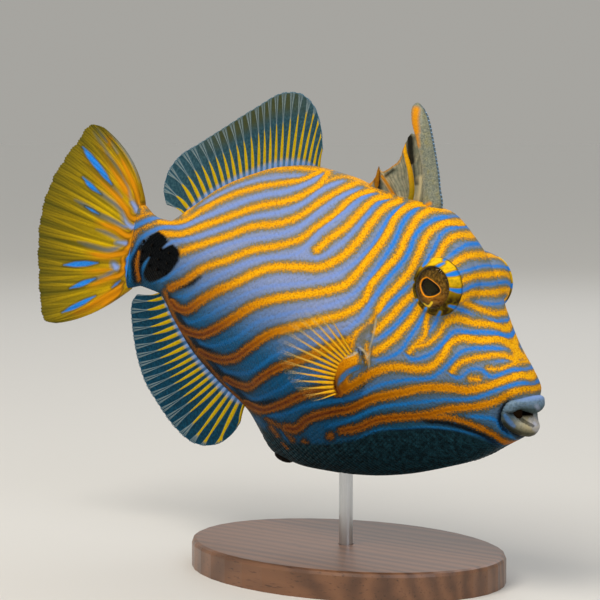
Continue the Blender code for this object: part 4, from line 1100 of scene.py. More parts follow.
# %% Both eyes
CORNEA_EDGE_Y, CORNEA_RISE, CORNEA_THICK, CORNEA_RINGS = 17.8, 1.7, 0.3, 40
cornea_finish, tree = new_finish("clear_cornea", Roughness=0.0, IOR=1.12, Transmission_Weight=1.0)
haze = add(tree, "ShaderNodeTexNoise", {"Scale": 60.0}).outputs["Fac"]
paint(tree, "FFFFFF", ("FDF8EC", (haze, 0, 1, 1)))
lens_r = np.linspace(0, 1, CORNEA_RINGS)
lens_r = np.concatenate([lens_r, lens_r[::-1]])[:, None]
inset = np.repeat((0, CORNEA_THICK), CORNEA_RINGS)[:, None]
dome = CORNEA_EDGE_Y - inset + CORNEA_RISE * np.sqrt(np.clip(1 - lens_r**2, 0, 1))
lens_x, lens_z = EYE_RADIUS * lens_r * np.cos(iris_turn), EYE_RADIUS * lens_r * np.sin(iris_turn)
bowl = IRIS_Y + 0.35 * smooth_step(0.2, 1.4, from_pupil) - 0.7 * smooth_step(0.25, -0.35, from_pupil)
for side, side_name in ((-1, "right"), (1, "left")):
    faces, bake = grid_faces(IRIS_RINGS, IRIS_STEPS, wrap=True, flip=side < 0)
    iris_points = np.stack([iris_x, side * bowl, iris_z], axis=-1)
    iris = new_piece("iris_" + side_name, iris_points, faces, iris_finish, bake, iris_fields)
    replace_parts(iris, "eye_" + side_name)
    print(iris.name, "radius", EYE_RADIUS, "mm")
    shell = np.stack([EYE_X + lens_x, np.broadcast_to(side * dome, lens_x.shape), EYE_Z + lens_z], axis=-1)
    faces, bake = grid_faces(2 * CORNEA_RINGS, IRIS_STEPS, wrap=True, flip=side < 0)
    new_piece("cornea_" + side_name, shell, faces, cornea_finish, bake)

# %% [markdown]
# ## Fins
#
# A soft fin is a thin web over bony rays. Each ray is one stout rod at its root and splits into
# threads on its way out. All these fins come from one recipe: a grid over the fin, laid from the
# root to the edge along the rays, thick on the rays and thin between them, with two sides closed
# round the rim. A ray's threads need no list, because folding the distance to the ray once for
# each split gives them all. The fins wave a little. They are nearly matt, with a grain of 0.9 mm.

# %% Fin helpers
COLUMNS_PER_RAY, FIN_WAVE = 22, 1.3


def ray_ridge(share, out, rays, splits, root_width, thread_width, thinning):
    """1 on the middle of a ray or thread, falling to 0 on the web between them."""
    gap = 1 / (rays - 1)
    off = (share - np.round(share / gap) * gap) / gap
    for start, spread in splits:
        off = np.abs(off) - spread * smooth_step(start, 1.15, out)
    width = root_width + (thread_width - root_width) * smooth_step(*thinning, out)
    return np.exp(-((off / width) ** 2))


def fin_wave(share, out):
    """How far a fin waves out of the midplane, in millimetres."""
    return FIN_WAVE * out**1.5 * np.sin(2 * math.pi * 1.5 * share + 0.6)


def picture_fields(points, taper=0.0, **lines):
    """The pixel distance from points to each named list of lines, one value for each point."""
    spots = picture_place(points)
    return {name: from_lines(spots, some, 7.0, taper) for name, some in lines.items()}


def fin_piece(name, middle, half, finish, fields):
    """A closed fin from a grid of middle points and half its thickness at each."""
    rows, columns = half.shape
    points = np.concatenate([middle + np.stack([half * 0, side * half, half * 0], -1) for side in (-1, 1)])
    near, near_bake = grid_faces(rows, columns)
    far, far_bake = grid_faces(rows, columns, rows * columns, flip=True)
    faces = near + far
    edge = ([r * columns for r in range(rows)] + [(rows - 1) * columns + c for c in range(1, columns)]
            + [r * columns + columns - 1 for r in range(rows - 2, -1, -1)] + list(range(columns - 2, 0, -1)))
    for a, b in zip(edge, edge[1:] + edge[:1]):
        faces.append((a, b, b + rows * columns, a + rows * columns))
    bake = np.vstack([near_bake * (0.48, 0.98) + 0.01, far_bake * (0.48, 0.98) + (0.51, 0.01),
                      np.tile((0.5, 0.995), (4 * len(edge), 1))])
    fields = {key: np.tile(np.broadcast_to(value, half.shape), (2, 1)) for key, value in fields.items()}
    piece = new_piece(name, points, faces, finish, bake, fields)
    mesh = bmesh.new()
    mesh.from_mesh(piece.data)
    bmesh.ops.recalc_face_normals(mesh, faces=mesh.faces)
    mesh.to_mesh(piece.data)
    mesh.free()
    return piece


def fin_finish(name, *fields):
    """A nearly matt finish for a fin, with the fields that its mesh carries and a fine grain."""
    return grained_finish(name, fields, (1.1, 3.0), (0.3, 0.15), Roughness=0.5, Specular_IOR_Level=0.04)


# %% [markdown]
# The soft dorsal and the anal fin rise from the back line and the belly line. At the root a sky-blue
# band runs along them. The rays are yellow and stout up to the middle, where they split into thin
# pale threads over a dark teal web. A dusky olive shade lies on the outer part of the dorsal fin.

# %% Soft dorsal and anal fin
SOFT_DORSAL_BASE, SOFT_DORSAL_RAYS = (112.0, 171.5), 25
SOFT_DORSAL_EDGE = [(112.8, 59.5), (115.8, 67), (120.6, 73.6), (127, 76.6), (133.6, 75.6), (144, 68.3),
                    (158, 58), (172, 47.6), (181, 40), (184.6, 32), (184, 25), (181.4, 21.4)]
ANAL_BASE, ANAL_RAYS = (127.0, 176.5), 22
ANAL_EDGE = [(127.6, -47), (131.5, -54.5), (137, -60), (144, -63.4), (151, -64.2), (159, -61.6),
             (170, -53.6), (180, -46), (187.4, -37.4), (191.2, -28), (191.6, -20), (187.6, -14.6)]
# Where each ray ends: a share of the way along the root, and the same ray's share of the outer edge.
SOFT_DORSAL_TIPS = [(0, 0), (0.09, 0.105), (0.2, 0.205), (0.3, 0.285), (0.46, 0.4), (0.61, 0.56),
                    (0.77, 0.72), (0.91, 0.86), (1, 1)]
ANAL_TIPS = [(0, 0.02), (0.04, 0.15), (0.08, 0.23), (0.23, 0.4), (0.46, 0.576), (0.61, 0.679),
             (0.76, 0.792), (0.87, 0.867), (1, 0.98)]
EDGE_FIN_ROWS, ROOT_SUNK = 62, 1.4
# Half the thickness of the web, of a ray and of a ray's joints, and how much the first two thin out.
WEB_THICK, WEB_THINS, RAY_THICK, RAY_THINS, JOINT_THICK = 0.16, 0.08, 0.42, 0.24, 0.04


def edge_fin(name, line, base, edge, tips, rays, side, dusk, web):
    """The soft dorsal or the anal fin, side 1 up or -1 down."""
    finish, tree, field, _, grain = fin_finish(name + "_skin", "ray", "out", "stout", "dusk", "root")
    yellow = lay_colours(tree, "C4A408", ("9C8406", (grain, 0.4, 0.7, 0.5)))
    paint(tree, web[0],
          (web[1], (grain, 0.4, 0.8, 0.8)),
          ("47460E", (field["dusk"], 0, 1, 0.75)),
          ("35586C", (field["ray"], 0.02, 0.4, 0.5)),
          ("8C9A98", (field["ray"], 0.4, 0.85, 0.6)),
          (yellow, (field["stout"], 0.3, 0.6, 1)),
          ("6A9ADE", (field["root"], 0, 1, 1)),
          ("3E7290", (field["out"], 0.98, 1.0, 0.5)))
    share = np.linspace(0, 1, (rays - 1) * COLUMNS_PER_RAY + 1)[None, :]
    out = np.linspace(0, 1, EDGE_FIN_ROWS)[:, None]
    root_x = base[0] + (base[1] - base[0]) * share
    root = np.stack([root_x, through(line, root_x) - side * ROOT_SUNK], axis=-1)
    tip = along(edge, np.interp(share, *zip(*tips)))
    split = 0.42 + 0.38 * smooth_step(0.3, 0.05, share)
    ridge = ray_ridge(share, out, rays, ((split, 0.2), (0.68, 0.1)), 0.26, 0.05, (0.22, split + 0.26))
    reach = out * (0.985 + 0.012 * ridge[-1:] ** 2)
    swell = np.sin(math.pi * out)
    flat = root + (tip - root) * reach[..., None] + np.stack([(0.3 - 1.3 * share) * swell,
                                                              side * 0.6 * swell + share * 0], -1)
    joints = JOINT_THICK * np.sin(out * 150 + np.round(share * (rays - 1)) * 2.1) * smooth_step(0.3, 0.5, out)
    half = (WEB_THICK - WEB_THINS * out) + (RAY_THICK - RAY_THINS * out + joints) * ridge
    middle = np.stack([flat[..., 0], fin_wave(share, out), flat[..., 1]], axis=-1)
    fields = {"ray": ridge, "out": out, "stout": ridge * smooth_step(split + 0.3, split + 0.05, out),
              "dusk": (dusk * smooth_step(0.6, 0.85, out) * smooth_step(0.1, 0.3, share)
                       * smooth_step(0.85, 0.6, share)),
              "root": (0.3 + 0.7 * ridge) * smooth_step(0.17, 0.08, out)}
    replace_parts(fin_piece(name, middle, half, finish, fields), name.replace("web_of_", ""))
    print(name, "rays:", rays)


edge_fin("web_of_soft_dorsal_fin", BACK_LINE, SOFT_DORSAL_BASE, SOFT_DORSAL_EDGE, SOFT_DORSAL_TIPS,
         SOFT_DORSAL_RAYS, 1, 1, ("22424E", "42656F"))
edge_fin("web_of_anal_fin", BELLY_LINE, ANAL_BASE, ANAL_EDGE, ANAL_TIPS, ANAL_RAYS, -1, 0,
         ("0A3042", "15506C"))

# %% [markdown]
# The tail fin fans out from the flat end of the stem. Its twelve rays split early and closely, so
# that the whole fin looks combed. Its ground is olive yellow, with brighter and darker strands.
# Orange veins with dark rims and lavender patches run on from the collar of the stem and fade
# outwards, and blue spindles lie between the rays.

# %% Lines of the tail fin
TAIL_VEINS = [
    (2.6, [(158, 212), (150, 213), (143, 215.3), (134.6, 218.7), (130, 215.8), (127.7, 210.1), (123.1, 204.4),
           (117.4, 196.5), (108.8, 188.1), (100.2, 180), (92.1, 170.8), (85.8, 162.8), (78.9, 153.6)]),
    (2.5, [(143, 213), (142.4, 207), (139.2, 201.5), (136, 192), (132.3, 181.8), (127.7, 173.1),
           (122.6, 162.8), (118.6, 154.2)]),
    (1.5, [(131, 188), (127.7, 183.5), (123.1, 176), (117.4, 164.5), (111.7, 154.2)]),
    (3.0, [(129.5, 197), (123.1, 186.4), (117.4, 177.7), (111.7, 169.7), (105.9, 160.5), (99, 151.3),
           (92.7, 142.1)]),
    (2.6, [(158, 222), (149, 225.5), (140.4, 229), (134.5, 234), (128.9, 235.9), (123.1, 233.1), (117.4, 229),
           (108.8, 225.6), (100.2, 222.1)]),
    (2.8, [(134.5, 234), (132.3, 241.7), (130, 247.4), (124.9, 252.6), (117.4, 254.3), (108.8, 256),
           (100.2, 255.4), (88.7, 252.6)]),
    (2.4, [(125, 253), (123.7, 261.8), (124.3, 270.4), (120.3, 275), (111.7, 277.3), (100, 281), (90, 286)]),
    (3.6, [(125, 283), (115, 292), (105, 298), (92, 306), (80, 312), (68, 316)]),
    (1.4, [(112, 269.5), (84, 271.5)]), (3.0, [(124, 288), (112, 298), (98, 307)])]
TAIL_SPOT = [(1.5, [(105.5, 138.5), (108.5, 138.5)]), (1.2, [(107, 140), (107, 145)])]
TAIL_SPINDLES = [
    (2.7, [(80, 147), (89.9, 158.8), (97.3, 167.4), (105.9, 177.7), (111, 184.5)]),
    (2.6, [(83.5, 177), (94.4, 188.6), (101.5, 194)]), (1.9, [(86, 206.5), (93.3, 210.7), (99, 214)]),
    (2.7, [(62, 265.2), (77.2, 264.1), (97, 262.9)]), (2.6, [(68, 288.5), (80, 284), (94, 278.5)]),
    (2.4, [(62, 312.5), (78, 305), (95, 296)]), (1.9, [(112, 287.5), (121, 280.5)]),
    (2.1, [(158, 229.5), (151, 232), (145, 235.4), (140.4, 239.9), (136.9, 246.3), (134.1, 253.1),
           (130.6, 257.7), (128.9, 262.3), (129.5, 270.4), (130, 281)])]
TAIL_HAZE = [
    (2.2, [(158, 217.5), (150, 219.3), (139.2, 224.4), (134.1, 227.3), (128.9, 224.4), (124.9, 217.6),
           (122, 211.2), (116.3, 204.9), (109.4, 199.8), (103.6, 195.2), (96, 189)]),
    (1.2, [(132, 200), (130, 196), (124.3, 181.8), (117.4, 170.3), (108.8, 158.8), (101, 147)]),
    (2.1, [(134, 227), (123.1, 225.6), (117.4, 222.7), (108.8, 218.7), (100.2, 215.3), (90, 208.5),
           (76, 200)]),
    (1.6, [(97, 229.6), (105.9, 232.5), (111.7, 235.3), (122, 241)]),
    (1.9, [(79, 242), (88.7, 245.1), (97.3, 247.4), (105.9, 249.7), (114.5, 249.1), (123, 245.5)]),
    (1.6, [(117, 269), (104.8, 276.1), (94.4, 279), (84, 282)]), (0.9, [(108, 181), (121.5, 197)]),
    (1.0, [(104, 127), (113.4, 137.6), (120.9, 146.7), (128.9, 157.6), (136.3, 169.7), (142.1, 181.8),
           (149, 200)]),
    (1.1, [(90, 131.5), (96.7, 141), (103, 149)]), (0.9, [(94, 128.5), (104.5, 142)]),
    (0.9, [(109.5, 142), (116, 153)])]
TAIL_PATCHES = [(2.7, [(137, 210.5), (135.2, 206.5), (132.5, 202.5)]), (2.6, [(118, 242), (126, 243)]),
                (3.9, [(113.5, 264.5), (116.5, 267.5)])]
print("tail lines:", len(TAIL_VEINS), "veins,", len(TAIL_HAZE), "lavender,", len(TAIL_SPINDLES), "spindles")

# %% [markdown]
# The fin's root takes on the thickness of the stem, so that the two flow into one another. Its rays
# leave the root side by side and bend apart, and its outer edge is slightly frayed.

# %% Tail fin
CAUDAL_EDGE = [(222, 42), (229.4, 41.6), (235.2, 33.6), (241.6, 22), (245.6, 10), (247.6, -3), (247.6, -14),
               (245.4, -25.6), (241.6, -35.4), (237.6, -40.6), (230, -39.8)]
CAUDAL_RAYS, CAUDAL_COLUMNS, CAUDAL_ROWS, STRANDS = 12, 36, 84, 90
share = np.linspace(0, 1, (CAUDAL_RAYS - 1) * CAUDAL_COLUMNS + 1)[None, :]
out = np.linspace(0, 1, CAUDAL_ROWS)[:, None]
tail_top, tail_bottom = through(BACK_LINE, BODY_LENGTH) - 0.15, through(BELLY_LINE, BODY_LENGTH) + 0.15
tail_ridge = ray_ridge(share, out, CAUDAL_RAYS, ((0.05, 0.29), (0.25, 0.145), (0.5, 0.072)), 0.3, 0.05,
                       (0.0, 0.8))
tail_root = np.stack([BODY_LENGTH - 1.2 + 0 * share, tail_top + (tail_bottom - tail_top) * share], -1)
tail_bend = np.stack([200 + 11 * share, 1.5 + 34.5 * (1 - 2 * share)], -1)
notches = 0.006 * np.sin(share * 41) * np.sin(share * 97) + 0.004 * tail_ridge[-1:]
reach = (out * (0.99 + notches * out**4))[..., None]
tail_flat = (tail_root * (1 - reach) ** 2 + tail_bend * 2 * reach * (1 - reach)
             + along(CAUDAL_EDGE, share) * reach**2)
tail_middle = np.stack([tail_flat[..., 0], fin_wave(share, out), tail_flat[..., 1]], axis=-1)
stem_end = right_flank[-1]
stem_half = np.interp(-tail_root[..., 1], -stem_end[:, 2], -stem_end[:, 1]) - 0.04
near_stem = smooth_step(0.15, 0.03, out)
tail_half = 0.12 + 0.1 * (1 - out) + (0.34 + 0.4 * (1 - out) ** 2) * tail_ridge
tail_half = (1 - near_stem) * tail_half + near_stem * stem_half

tail_fields = picture_fields(tail_middle, 10, vein=TAIL_VEINS, haze=TAIL_HAZE)
tail_fields |= picture_fields(tail_middle, 14, spindle=TAIL_SPINDLES)
rounded = picture_fields(tail_middle, spot=TAIL_SPOT, patches=TAIL_PATCHES)
vein = np.minimum(tail_fields["vein"] + 4 * smooth_step(0.45, 0.95, out), rounded["spot"])
haze = np.minimum(tail_fields["haze"], rounded["patches"])
strand = np.random.default_rng(11).uniform(0, 1, STRANDS)
strand = np.interp(share * (STRANDS - 1), np.arange(STRANDS), strand)
tail_fields |= {"vein": vein, "vein_rim": vein + 2.5 * smooth_step(0.12, 0.5, out),
                "haze": haze, "haze_near": haze + 3 * smooth_step(0.12, 0.42, out),
                "ray": np.maximum(tail_ridge, 0.7 * smooth_step(0.6, 0.15, out)), "out": out,
                "strand": strand * (0.4 + 0.6 * smooth_step(0.1, 0.5, out))}
tail_finish, tree, field, _, grain = fin_finish("tail_fin_web", *tail_fields)
spindle_blue = lay_colours(tree, "1E7CDA", ("4A9AEA", (grain, 0.4, 0.8, 0.6)))
paint(tree, "CCA808",
      ("9A8208", (grain, 0.35, 0.75, 0.45)),
      ("DEB80E", (field["strand"], 0.5, 0.9, 0.6)),
      ("524E0C", (field["strand"], 0.45, 0.05, 0.65)),
      ("C08408", (field["vein"], 6.0, 0.5, 0.5)),
      ("60788C", (field["haze"], 1.8, -1.4, 0.75)),
      ("88A0E0", (field["haze_near"], 0.9, -1.6, 0.85)),
      ("3A3008", (field["vein_rim"], 1.9, 0.6, 0.7)),
      ("D28808", (field["vein"], 0.9, -1.6, 0.95)),
      ("5E5810", (field["ray"], 0.45, 0.05, 0.5)),
      ("3C4016", (field["out"], 0.5, 1.0, 0.8)),
      ("2E3A20", (field["spindle"], 2.4, 0.6, 0.55)),
      (spindle_blue, (field["spindle"], 0.7, -1.0, 1)))
tail_fin = fin_piece("web_of_tail_fin", tail_middle, tail_half, tail_finish, tail_fields)
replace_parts(tail_fin, "caudal_fin")
print("tail fin rays:", CAUDAL_RAYS)

# %% [markdown]
# The pectoral fins are clear fans with yellow rays, spread a little off the flank. The web between
# the rays is almost invisible, and the rays themselves thin out and turn clear towards the edge, so
# that the stripes behind them show.

# %% Pectoral fins
PECTORAL_BASE = [(68.0, 0.5), (71.4, -3.6), (73.6, -8.4), (74.2, -12.4), (73.2, -15.6), (70.8, -17.8)]
PECTORAL_EDGE = [(79.6, 12.5), (86.5, 9.8), (91.6, 4.6), (94.2, -2.4), (93.6, -9.4), (89.6, -15.6),
                 (83.6, -20.2), (77.4, -22.2)]
PECTORAL_RAYS, PECTORAL_LIFT, PECTORAL_ROOT_Y, PECTORAL_ROWS = 14, math.radians(19), 21.9, 46
ROOT_IN_PAD, CLEAREST = 0.12, 0.015
fan_finish, tree, field, _, grain = fin_finish("clear_fan", "ray", "out")
paint(tree, "E8A818",
      ("A89C14", (grain, 0.45, 0.7, 0.6)),
      ("DCC878", (field["out"], 0.3, 0.9, 0.75)),
      ("C8B060", (field["ray"], 0.5, 0.1, 0.8)))
on_ray = add(tree, "ShaderNodeMapRange", {"Value": field["ray"], "From Min": 0.3,
                                          "From Max": 0.75}).outputs[0]
thinned = add(tree, "ShaderNodeMapRange", {"Value": field["out"], "From Min": 0.25, "From Max": 0.92,
                                           "To Min": 1.0, "To Max": 0.04}).outputs[0]
opaque = add(tree, "ShaderNodeMath", {0: on_ray, 1: thinned}, operation="MULTIPLY").outputs[0]
opaque = add(tree, "ShaderNodeMath", {0: opaque, 1: CLEAREST}, operation="MAXIMUM").outputs[0]
tree.links.new(opaque, tree.nodes["Principled BSDF"].inputs["Alpha"])
share = np.linspace(0, 1, (PECTORAL_RAYS - 1) * COLUMNS_PER_RAY + 1)[None, :]
out = np.linspace(0, 1, PECTORAL_ROWS)[:, None]
fan_ridge = ray_ridge(share, out, PECTORAL_RAYS, ((0.35, 0.17), (0.65, 0.08)), 0.4, 0.05, (0.0, 0.75))
fan_root, fan_tip = along(PECTORAL_BASE, share), along(PECTORAL_EDGE, share)
fan_reach = out * (0.95 + 0.04 * fan_ridge[-1:]) - ROOT_IN_PAD * (1 - out)
fan_flat = fan_root + (fan_tip - fan_root) * fan_reach[..., None]
fan_lift = PECTORAL_ROOT_Y + (fan_flat[..., 0] - fan_root[..., 0]) * math.tan(PECTORAL_LIFT)
fan_half = 0.05 + (0.5 - 0.4 * out) * fan_ridge
for side, name in ((-1, "pectoral_fin_right"), (1, "pectoral_fin_left")):
    fan_middle = np.stack([fan_flat[..., 0], side * fan_lift, fan_flat[..., 1]], -1)
    fan = fin_piece("web_of_" + name, fan_middle, fan_half, fan_finish,
                    {"ray": fan_ridge, "out": out})
    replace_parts(fan, name)
    print(name, "rays:", PECTORAL_RAYS)

# %% [markdown]
# ## First dorsal fin
#
# The trigger itself: a stout, rough first spine with a saw-edged front, a slim second spine that
# locks it upright and a tiny third, joined by a wrinkled web. Each spine is a tube round a path with
# its own half depth at every point of it, and grains are pressed out of the surface. The first spine
# is grey with olive blotches about 2.4 mm wide and grit of 0.5 mm, its saw is blue, and its tip and
# foot are orange. The slim ones are amber.

# %% Spines
# Each spine has its path, half its depth at each point of the path, and half its width at the foot.
SPINE_PATHS = [
    ([(60.2, 47), (60.6, 54), (62.0, 58), (63.6, 62.8), (65.8, 67.5), (68.2, 72.2), (71.2, 77.6), (72.8, 81),
      (73.9, 83.2), (74.5, 84.8)], [4.3, 4.1, 3.65, 3.55, 3.6, 3.8, 4.1, 3.7, 3.0, 1.9], 2.4),
    ([(69.9, 47), (69.7, 51.5), (69.8, 54.5), (70.9, 58.3), (72.3, 61.5), (74.2, 64.6), (75.7, 67.1),
      (76.4, 70.2)], [1.2, 1.15, 1.15, 1.2, 1.2, 1.1, 0.9, 0.3], 1.2),
    ([(84.6, 48), (85.4, 51), (85.7, 54.5), (85.9, 57.5), (86.1, 59.6)], [1.3, 1.1, 0.9, 0.6, 0.15], 0.7)]
SPINE_STEPS, SPINE_SIDES, SAW_TEETH, TOOTH_HEIGHT, GRAIN_HEIGHT = 170, 72, 30, 0.35, 0.10
SPINE_ORANGE = [(3.2, [(416, 110), (415, 120), (416, 132)]), (1.2, [(417, 134), (418, 146)])]
SPINE_PALE = [(1.2, [(421, 108), (421, 122), (420, 136)]),
              (1.6, [(418, 142), (421, 160), (423, 182), (422, 197)])]
SPINE_FOOT = [(1.8, [(427, 205), (430, 203.5)])]
spine_finish, tree, field, room, grain = fin_finish("rough_spine", "saw", "orange", "pale", "foot", "slim",
                                                    "low")
blotches, grit = (add(tree, "ShaderNodeTexNoise", {"Vector": room, "Scale": per_mm / MM,
                                                   "Detail": detail}).outputs["Fac"]
                  for per_mm, detail in ((0.42, 3.0), (2.0, 1.0)))
amber = lay_colours(tree, "E8A40C",
                    ("7A7212", (field["low"], 0.8, 0.3, 0.85)),
                    ("7E4A12", (field["slim"], 1.5, 2.0, 0.9)),
                    ("A87A14", (grain, 0.45, 0.7, 0.5)))
paint(tree, "7C8070",
      ("8C8450", (blotches, 0.5, 0.72, 0.6)),
      ("505A56", (blotches, 0.48, 0.3, 0.45)),
      ("A8A698", (field["pale"], 1.4, -1.4, 0.45)),
      ("B0AC90", (grit, 0.5, 0.7, 0.4)),
      ("4A524C", (grit, 0.46, 0.32, 0.4)),
      ("E09000", (field["orange"], 2.2, -1.6, 0.95)),
      ("3A5A74", (field["saw"], 0.3, 1.0, 0.7)),
      ("A8CCF0", (field["saw"], 1.25, 1.55, 0.9)),
      ("E09000", (field["foot"], 1.2, -1.2, 0.9)),
      (amber, (field["slim"], 0, 1, 1)))
out = np.linspace(0, 1, SPINE_STEPS)[:, None]
turn = np.linspace(0, 2 * math.pi, SPINE_SIDES, endpoint=False)[None, :]
front_share = np.clip(-np.cos(turn), 0, 1)
tooth = np.abs(((out * SAW_TEETH) % 1) * 2 - 1) * smooth_step(1, 0.95, out)
saw = smooth_step(0.95, 0.99, front_share) * (1 + 0.6 * smooth_step(0.5, 0.95, tooth))
teeth = TOOTH_HEIGHT * tooth * smooth_step(0.95, 1.0, front_share)
grains = GRAIN_HEIGHT * np.sin(out * 190 + 5 * np.sin(turn * 3)) * np.sin(turn * 11 + out * 40)
for i, (path, depths, wide) in enumerate(SPINE_PATHS):
    centre = along(path, out)
    run = length_along(np.array(path, float))
    depth = np.interp(out, run / run[-1], depths) * np.sqrt(np.clip(1 - out**30, 0, 1)) + 0.02
    rough = (teeth + grains - 0.2) * (1 if i == 0 else 0.25)
    points = np.stack([centre[..., 0] + (depth + rough) * np.cos(turn),
                       (depth * wide / depths[0] * 1.1 + rough * 0.5) * np.sin(turn),
                       centre[..., 1] + 0 * turn], -1)
    faces, bake = grid_faces(SPINE_STEPS, SPINE_SIDES, wrap=True, flip=True)
    top_ring = range((SPINE_STEPS - 1) * SPINE_SIDES, SPINE_STEPS * SPINE_SIDES)
    faces += [tuple(range(SPINE_SIDES)), tuple(reversed(top_ring))]
    bake = np.vstack([bake, np.tile((0.5, 0.5), (2 * SPINE_SIDES, 1))])
    fields = picture_fields(points, orange=SPINE_ORANGE, pale=SPINE_PALE, foot=SPINE_FOOT)
    fields |= {"saw": saw, "low": out, "slim": i}
    made = new_piece(f"dorsal_spine_{i + 1}", points, faces, spine_finish, bake, fields)
    if i == 0:
        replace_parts(made, "first_dorsal_fin")
    print(made.name, "length", round(float(run[-1]), 1), "mm")

# %% [markdown]
# The web between the spines hangs in folds. It is laid over the length of the fish, from the back up
# to its curved upper edge, and wrinkles fan out over it from the foot of the second spine. It is
# olive grey, with pale and amber folds, painted shade along its wrinkles and a dark front.

# %% Web between the spines
WEB_TOP = [(62.5, 54), (64, 60), (66, 66), (68.2, 71), (71, 73.4), (74.2, 74), (76.4, 70.2), (77.5, 65.6),
           (79, 62.4), (81.1, 59.7), (83.4, 58.1), (85.2, 58), (86.1, 59.3), (86.8, 57), (87.3, 54.3),
           (88.6, 51.6)]
WEB_FAN, WEB_COLUMNS, WEB_ROWS, WEB_HALF, WEB_SUNK = (67.0, 44.0), 260, 70, 0.28, 2
FOLD_DEPTH, CREASE_DEPTH = 0.8, 0.08
WEB_DARK = [(3.4, [(410.5, 138), (411, 150), (412, 162)]), (0.8, [(414, 165), (415, 176), (416, 184)]),
            (2.6, [(376, 181), (379, 189)]), (1.2, [(394, 170), (386, 176)])]
WEB_AMBER = [(2.4, [(381, 177), (387, 186), (393, 197)]), (1.6, [(378, 171), (374, 179), (369, 187)]),
             (0.5, [(406, 144), (401, 155), (396, 163), (390, 169), (384, 172), (380, 171)])]
WEB_PALE = [(1.6, [(380, 170), (386, 178), (390, 189), (396, 199)]),
            (2.2, [(419, 178), (419, 190), (417, 202)]), (2.6, [(398, 198), (406, 201), (414, 203)])]
web_finish, tree, field, room, grain = fin_finish("wrinkled_web", "dark", "amber", "pale", "crease")
clouds = add(tree, "ShaderNodeTexNoise", {"Vector": room, "Scale": 0.38 / MM, "Detail": 4.0}).outputs["Fac"]
paint(tree, "7A7C68",
      ("A69C80", (clouds, 0.4, 0.7, 0.8)),
      ("4E5244", (grain, 0.5, 0.75, 0.5)),
      # Painted shade along the wrinkles.
      ("3E463E", (field["crease"], 0.2, -0.9, 0.35)),
      ("C6B78C", (field["pale"], 1.6, -1.4, 0.8)),
      ("C98612", (field["amber"], 1.0, -1.0, 0.9)),
      ("0C0A06", (field["dark"], 1.6, -1.4, 0.95)))
share, rise = np.linspace(0, 1, WEB_COLUMNS)[None, :], np.linspace(0, 1, WEB_ROWS)[:, None]
web_x = WEB_TOP[0][0] + (WEB_TOP[-1][0] - WEB_TOP[0][0]) * share + 0 * rise
web_foot = through(BACK_LINE, web_x) - WEB_SUNK
web_z = web_foot + (np.interp(web_x, *zip(*WEB_TOP)) - web_foot) * rise
fan_turn = np.arctan2(web_z - WEB_FAN[1], web_x - WEB_FAN[0])
creases = np.sin(fan_turn * 90 + 1.5 * np.sin(web_z * 0.9))
folds = FOLD_DEPTH * np.sin(fan_turn * 13 + 0.5) * smooth_step(62, 70, web_x) + CREASE_DEPTH * creases
spine_gap = from_curve(np.stack([web_x, web_z], -1), np.array(SPINE_PATHS[1][0], float))
web_middle = np.stack([web_x, folds * smooth_step(0.8, 2.6, spine_gap), web_z], -1)
fin_piece("dorsal_web", web_middle, np.full(web_x.shape, WEB_HALF), web_finish,
          picture_fields(web_middle, dark=WEB_DARK, amber=WEB_AMBER, pale=WEB_PALE) | {"crease": creases})
print("dorsal web:", WEB_ROWS, "by", WEB_COLUMNS, "points")

# %% [markdown]
# ## Small spines of tail stem and pelvis
#
# Rows of little forward-hooked thorns arm each side of the tail stem. Under the belly the bone of
# the pelvis ends in a short rough knob. Both are nearly black and rough, so they stand out against
# the coat without a shine of their own.

# %% Thorns and pelvic knob
THORNS = [(x, z) for x in (170.5, 176.0, 181.5, 187.0) for z in (5.6, 1.6, -2.4)]
THORN_R, THORN_HEIGHT, THORN_HOOK, THORN_RINGS, THORN_SIDES = 0.75, 1.55, 1.1, 9, 10
thorn_finish, tree = new_finish("dark_thorn", Roughness=0.6, Specular_IOR_Level=0.04)
mottle = add(tree, "ShaderNodeTexNoise", {"Scale": 90.0}).outputs["Fac"]
paint(tree, "030405", ("1C1610", (mottle, 0, 1, 1)))
out = np.linspace(-0.5, 1, THORN_RINGS)[:, None]
turn = np.linspace(0, 2 * math.pi, THORN_SIDES, endpoint=False)[None, :]
outside = np.maximum(0, out)
radius = THORN_R * (1 - 0.93 * outside) + 0.02
thorn_points, thorn_faces = [], []
for x, z in THORNS:
    foot_y = through(HALF_WIDTH, np.array([x]))[0] * 0.93
    for side in (-1, 1):
        start = len(thorn_points) * THORN_RINGS * THORN_SIDES
        thorn_points.append(np.stack([x - THORN_HOOK * outside**2 + radius * np.cos(turn),
                                      side * (foot_y + THORN_HEIGHT * out) + 0 * turn,
                                      z + radius * np.sin(turn)], axis=-1).reshape(-1, 3))
        thorn_faces += grid_faces(THORN_RINGS, THORN_SIDES, start, wrap=True, flip=side > 0)[0]
        last_ring = start + (THORN_RINGS - 1) * THORN_SIDES
        thorn_faces.append(tuple(range(last_ring, last_ring + THORN_SIDES)))
new_piece("tail_thorns", np.concatenate(thorn_points), thorn_faces, thorn_finish)
print("thorns:", len(thorn_points))

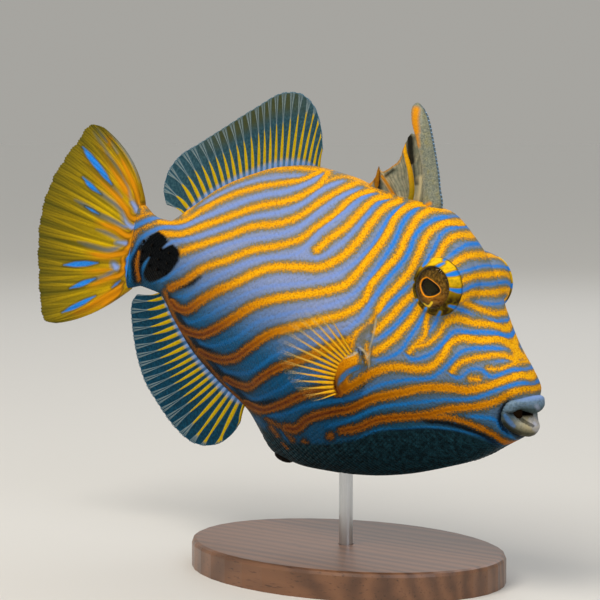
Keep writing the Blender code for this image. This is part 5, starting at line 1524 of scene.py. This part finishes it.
PELVIC_X, PELVIC_LENGTH, PELVIC_R, KNOB_ROWS, KNOB_STEPS = 104.5, 9.0, 2.1, 60, 72
pelvic_z = through(BELLY_LINE, np.array([PELVIC_X]))[0]
turn = np.linspace(0, 2 * math.pi, KNOB_STEPS, endpoint=False)[None, :]
rise = np.linspace(0.001, math.pi - 0.001, KNOB_ROWS)[:, None]
knob_grain = 0.9 + 0.07 * np.sin(turn * 13 + 2 * np.sin(rise * 9)) * np.sin(rise * 21)
knob = np.stack([PELVIC_X - PELVIC_LENGTH / 2 * np.cos(rise) + 0 * turn,
                 PELVIC_R * np.sin(rise) * np.cos(turn) * knob_grain,
                 pelvic_z + PELVIC_R * np.sin(rise) * np.sin(turn) * knob_grain], axis=-1)
knob_faces, knob_bake = grid_faces(KNOB_ROWS, KNOB_STEPS, wrap=True)
pelvic = new_piece("pelvic_knob", knob, knob_faces, thorn_finish, knob_bake)
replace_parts(pelvic, "pelvic_spine")

# %% [markdown]
# ## The stand
#
# An oval base of oiled walnut and a thin brushed steel rod. The solids already have the right shape,
# so they only get their finishes. Walnut shows long dark streaks along the grain with fine pores of
# under a millimetre, and its oil gives a soft sheen. The steel is drawn out along the rod, which
# leaves faint lines along it.

# %% Wood and steel
wood, tree, _, room, pores = grained_finish(
    "oiled_walnut", (), (1.5, 2.0), (0.25, 0.1), (0.12, 1.0, 1.0),
    Roughness=0.38, Coat_Weight=0.25, Coat_Roughness=0.25)
clouds = add(tree, "ShaderNodeTexNoise", {"Vector": room, "Scale": 90.0, "Detail": 3.0,
                                          "Distortion": 0.6}).outputs["Fac"]
streaks = add(tree, "ShaderNodeTexWave", {"Vector": room, "Scale": 55.0, "Distortion": 7.0, "Detail": 3.0},
              bands_direction="Y").outputs["Fac"]
paint(tree, "7A5236", ("3B2417", (streaks, 0, 1, 1), (clouds, 0, 1, 1)), ("24140C", (pores, 0.6, 0.72, 0.6)))

steel, tree, _, _, drawn_lines = grained_finish(
    "brushed_steel", (), (4.0, 2.0), (0.15, 0.02), (1.0, 1.0, 0.02), Metallic=1.0, Roughness=0.28)
paint(tree, "B9BCC0", ("D6D8DA", (drawn_lines, 0, 1, 1)))
for node, finish in (("stand_base", wood), ("stand_rod", steel)):
    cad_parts[node].material_slots[0].material = finish
    print(node, "wears", finish.name)
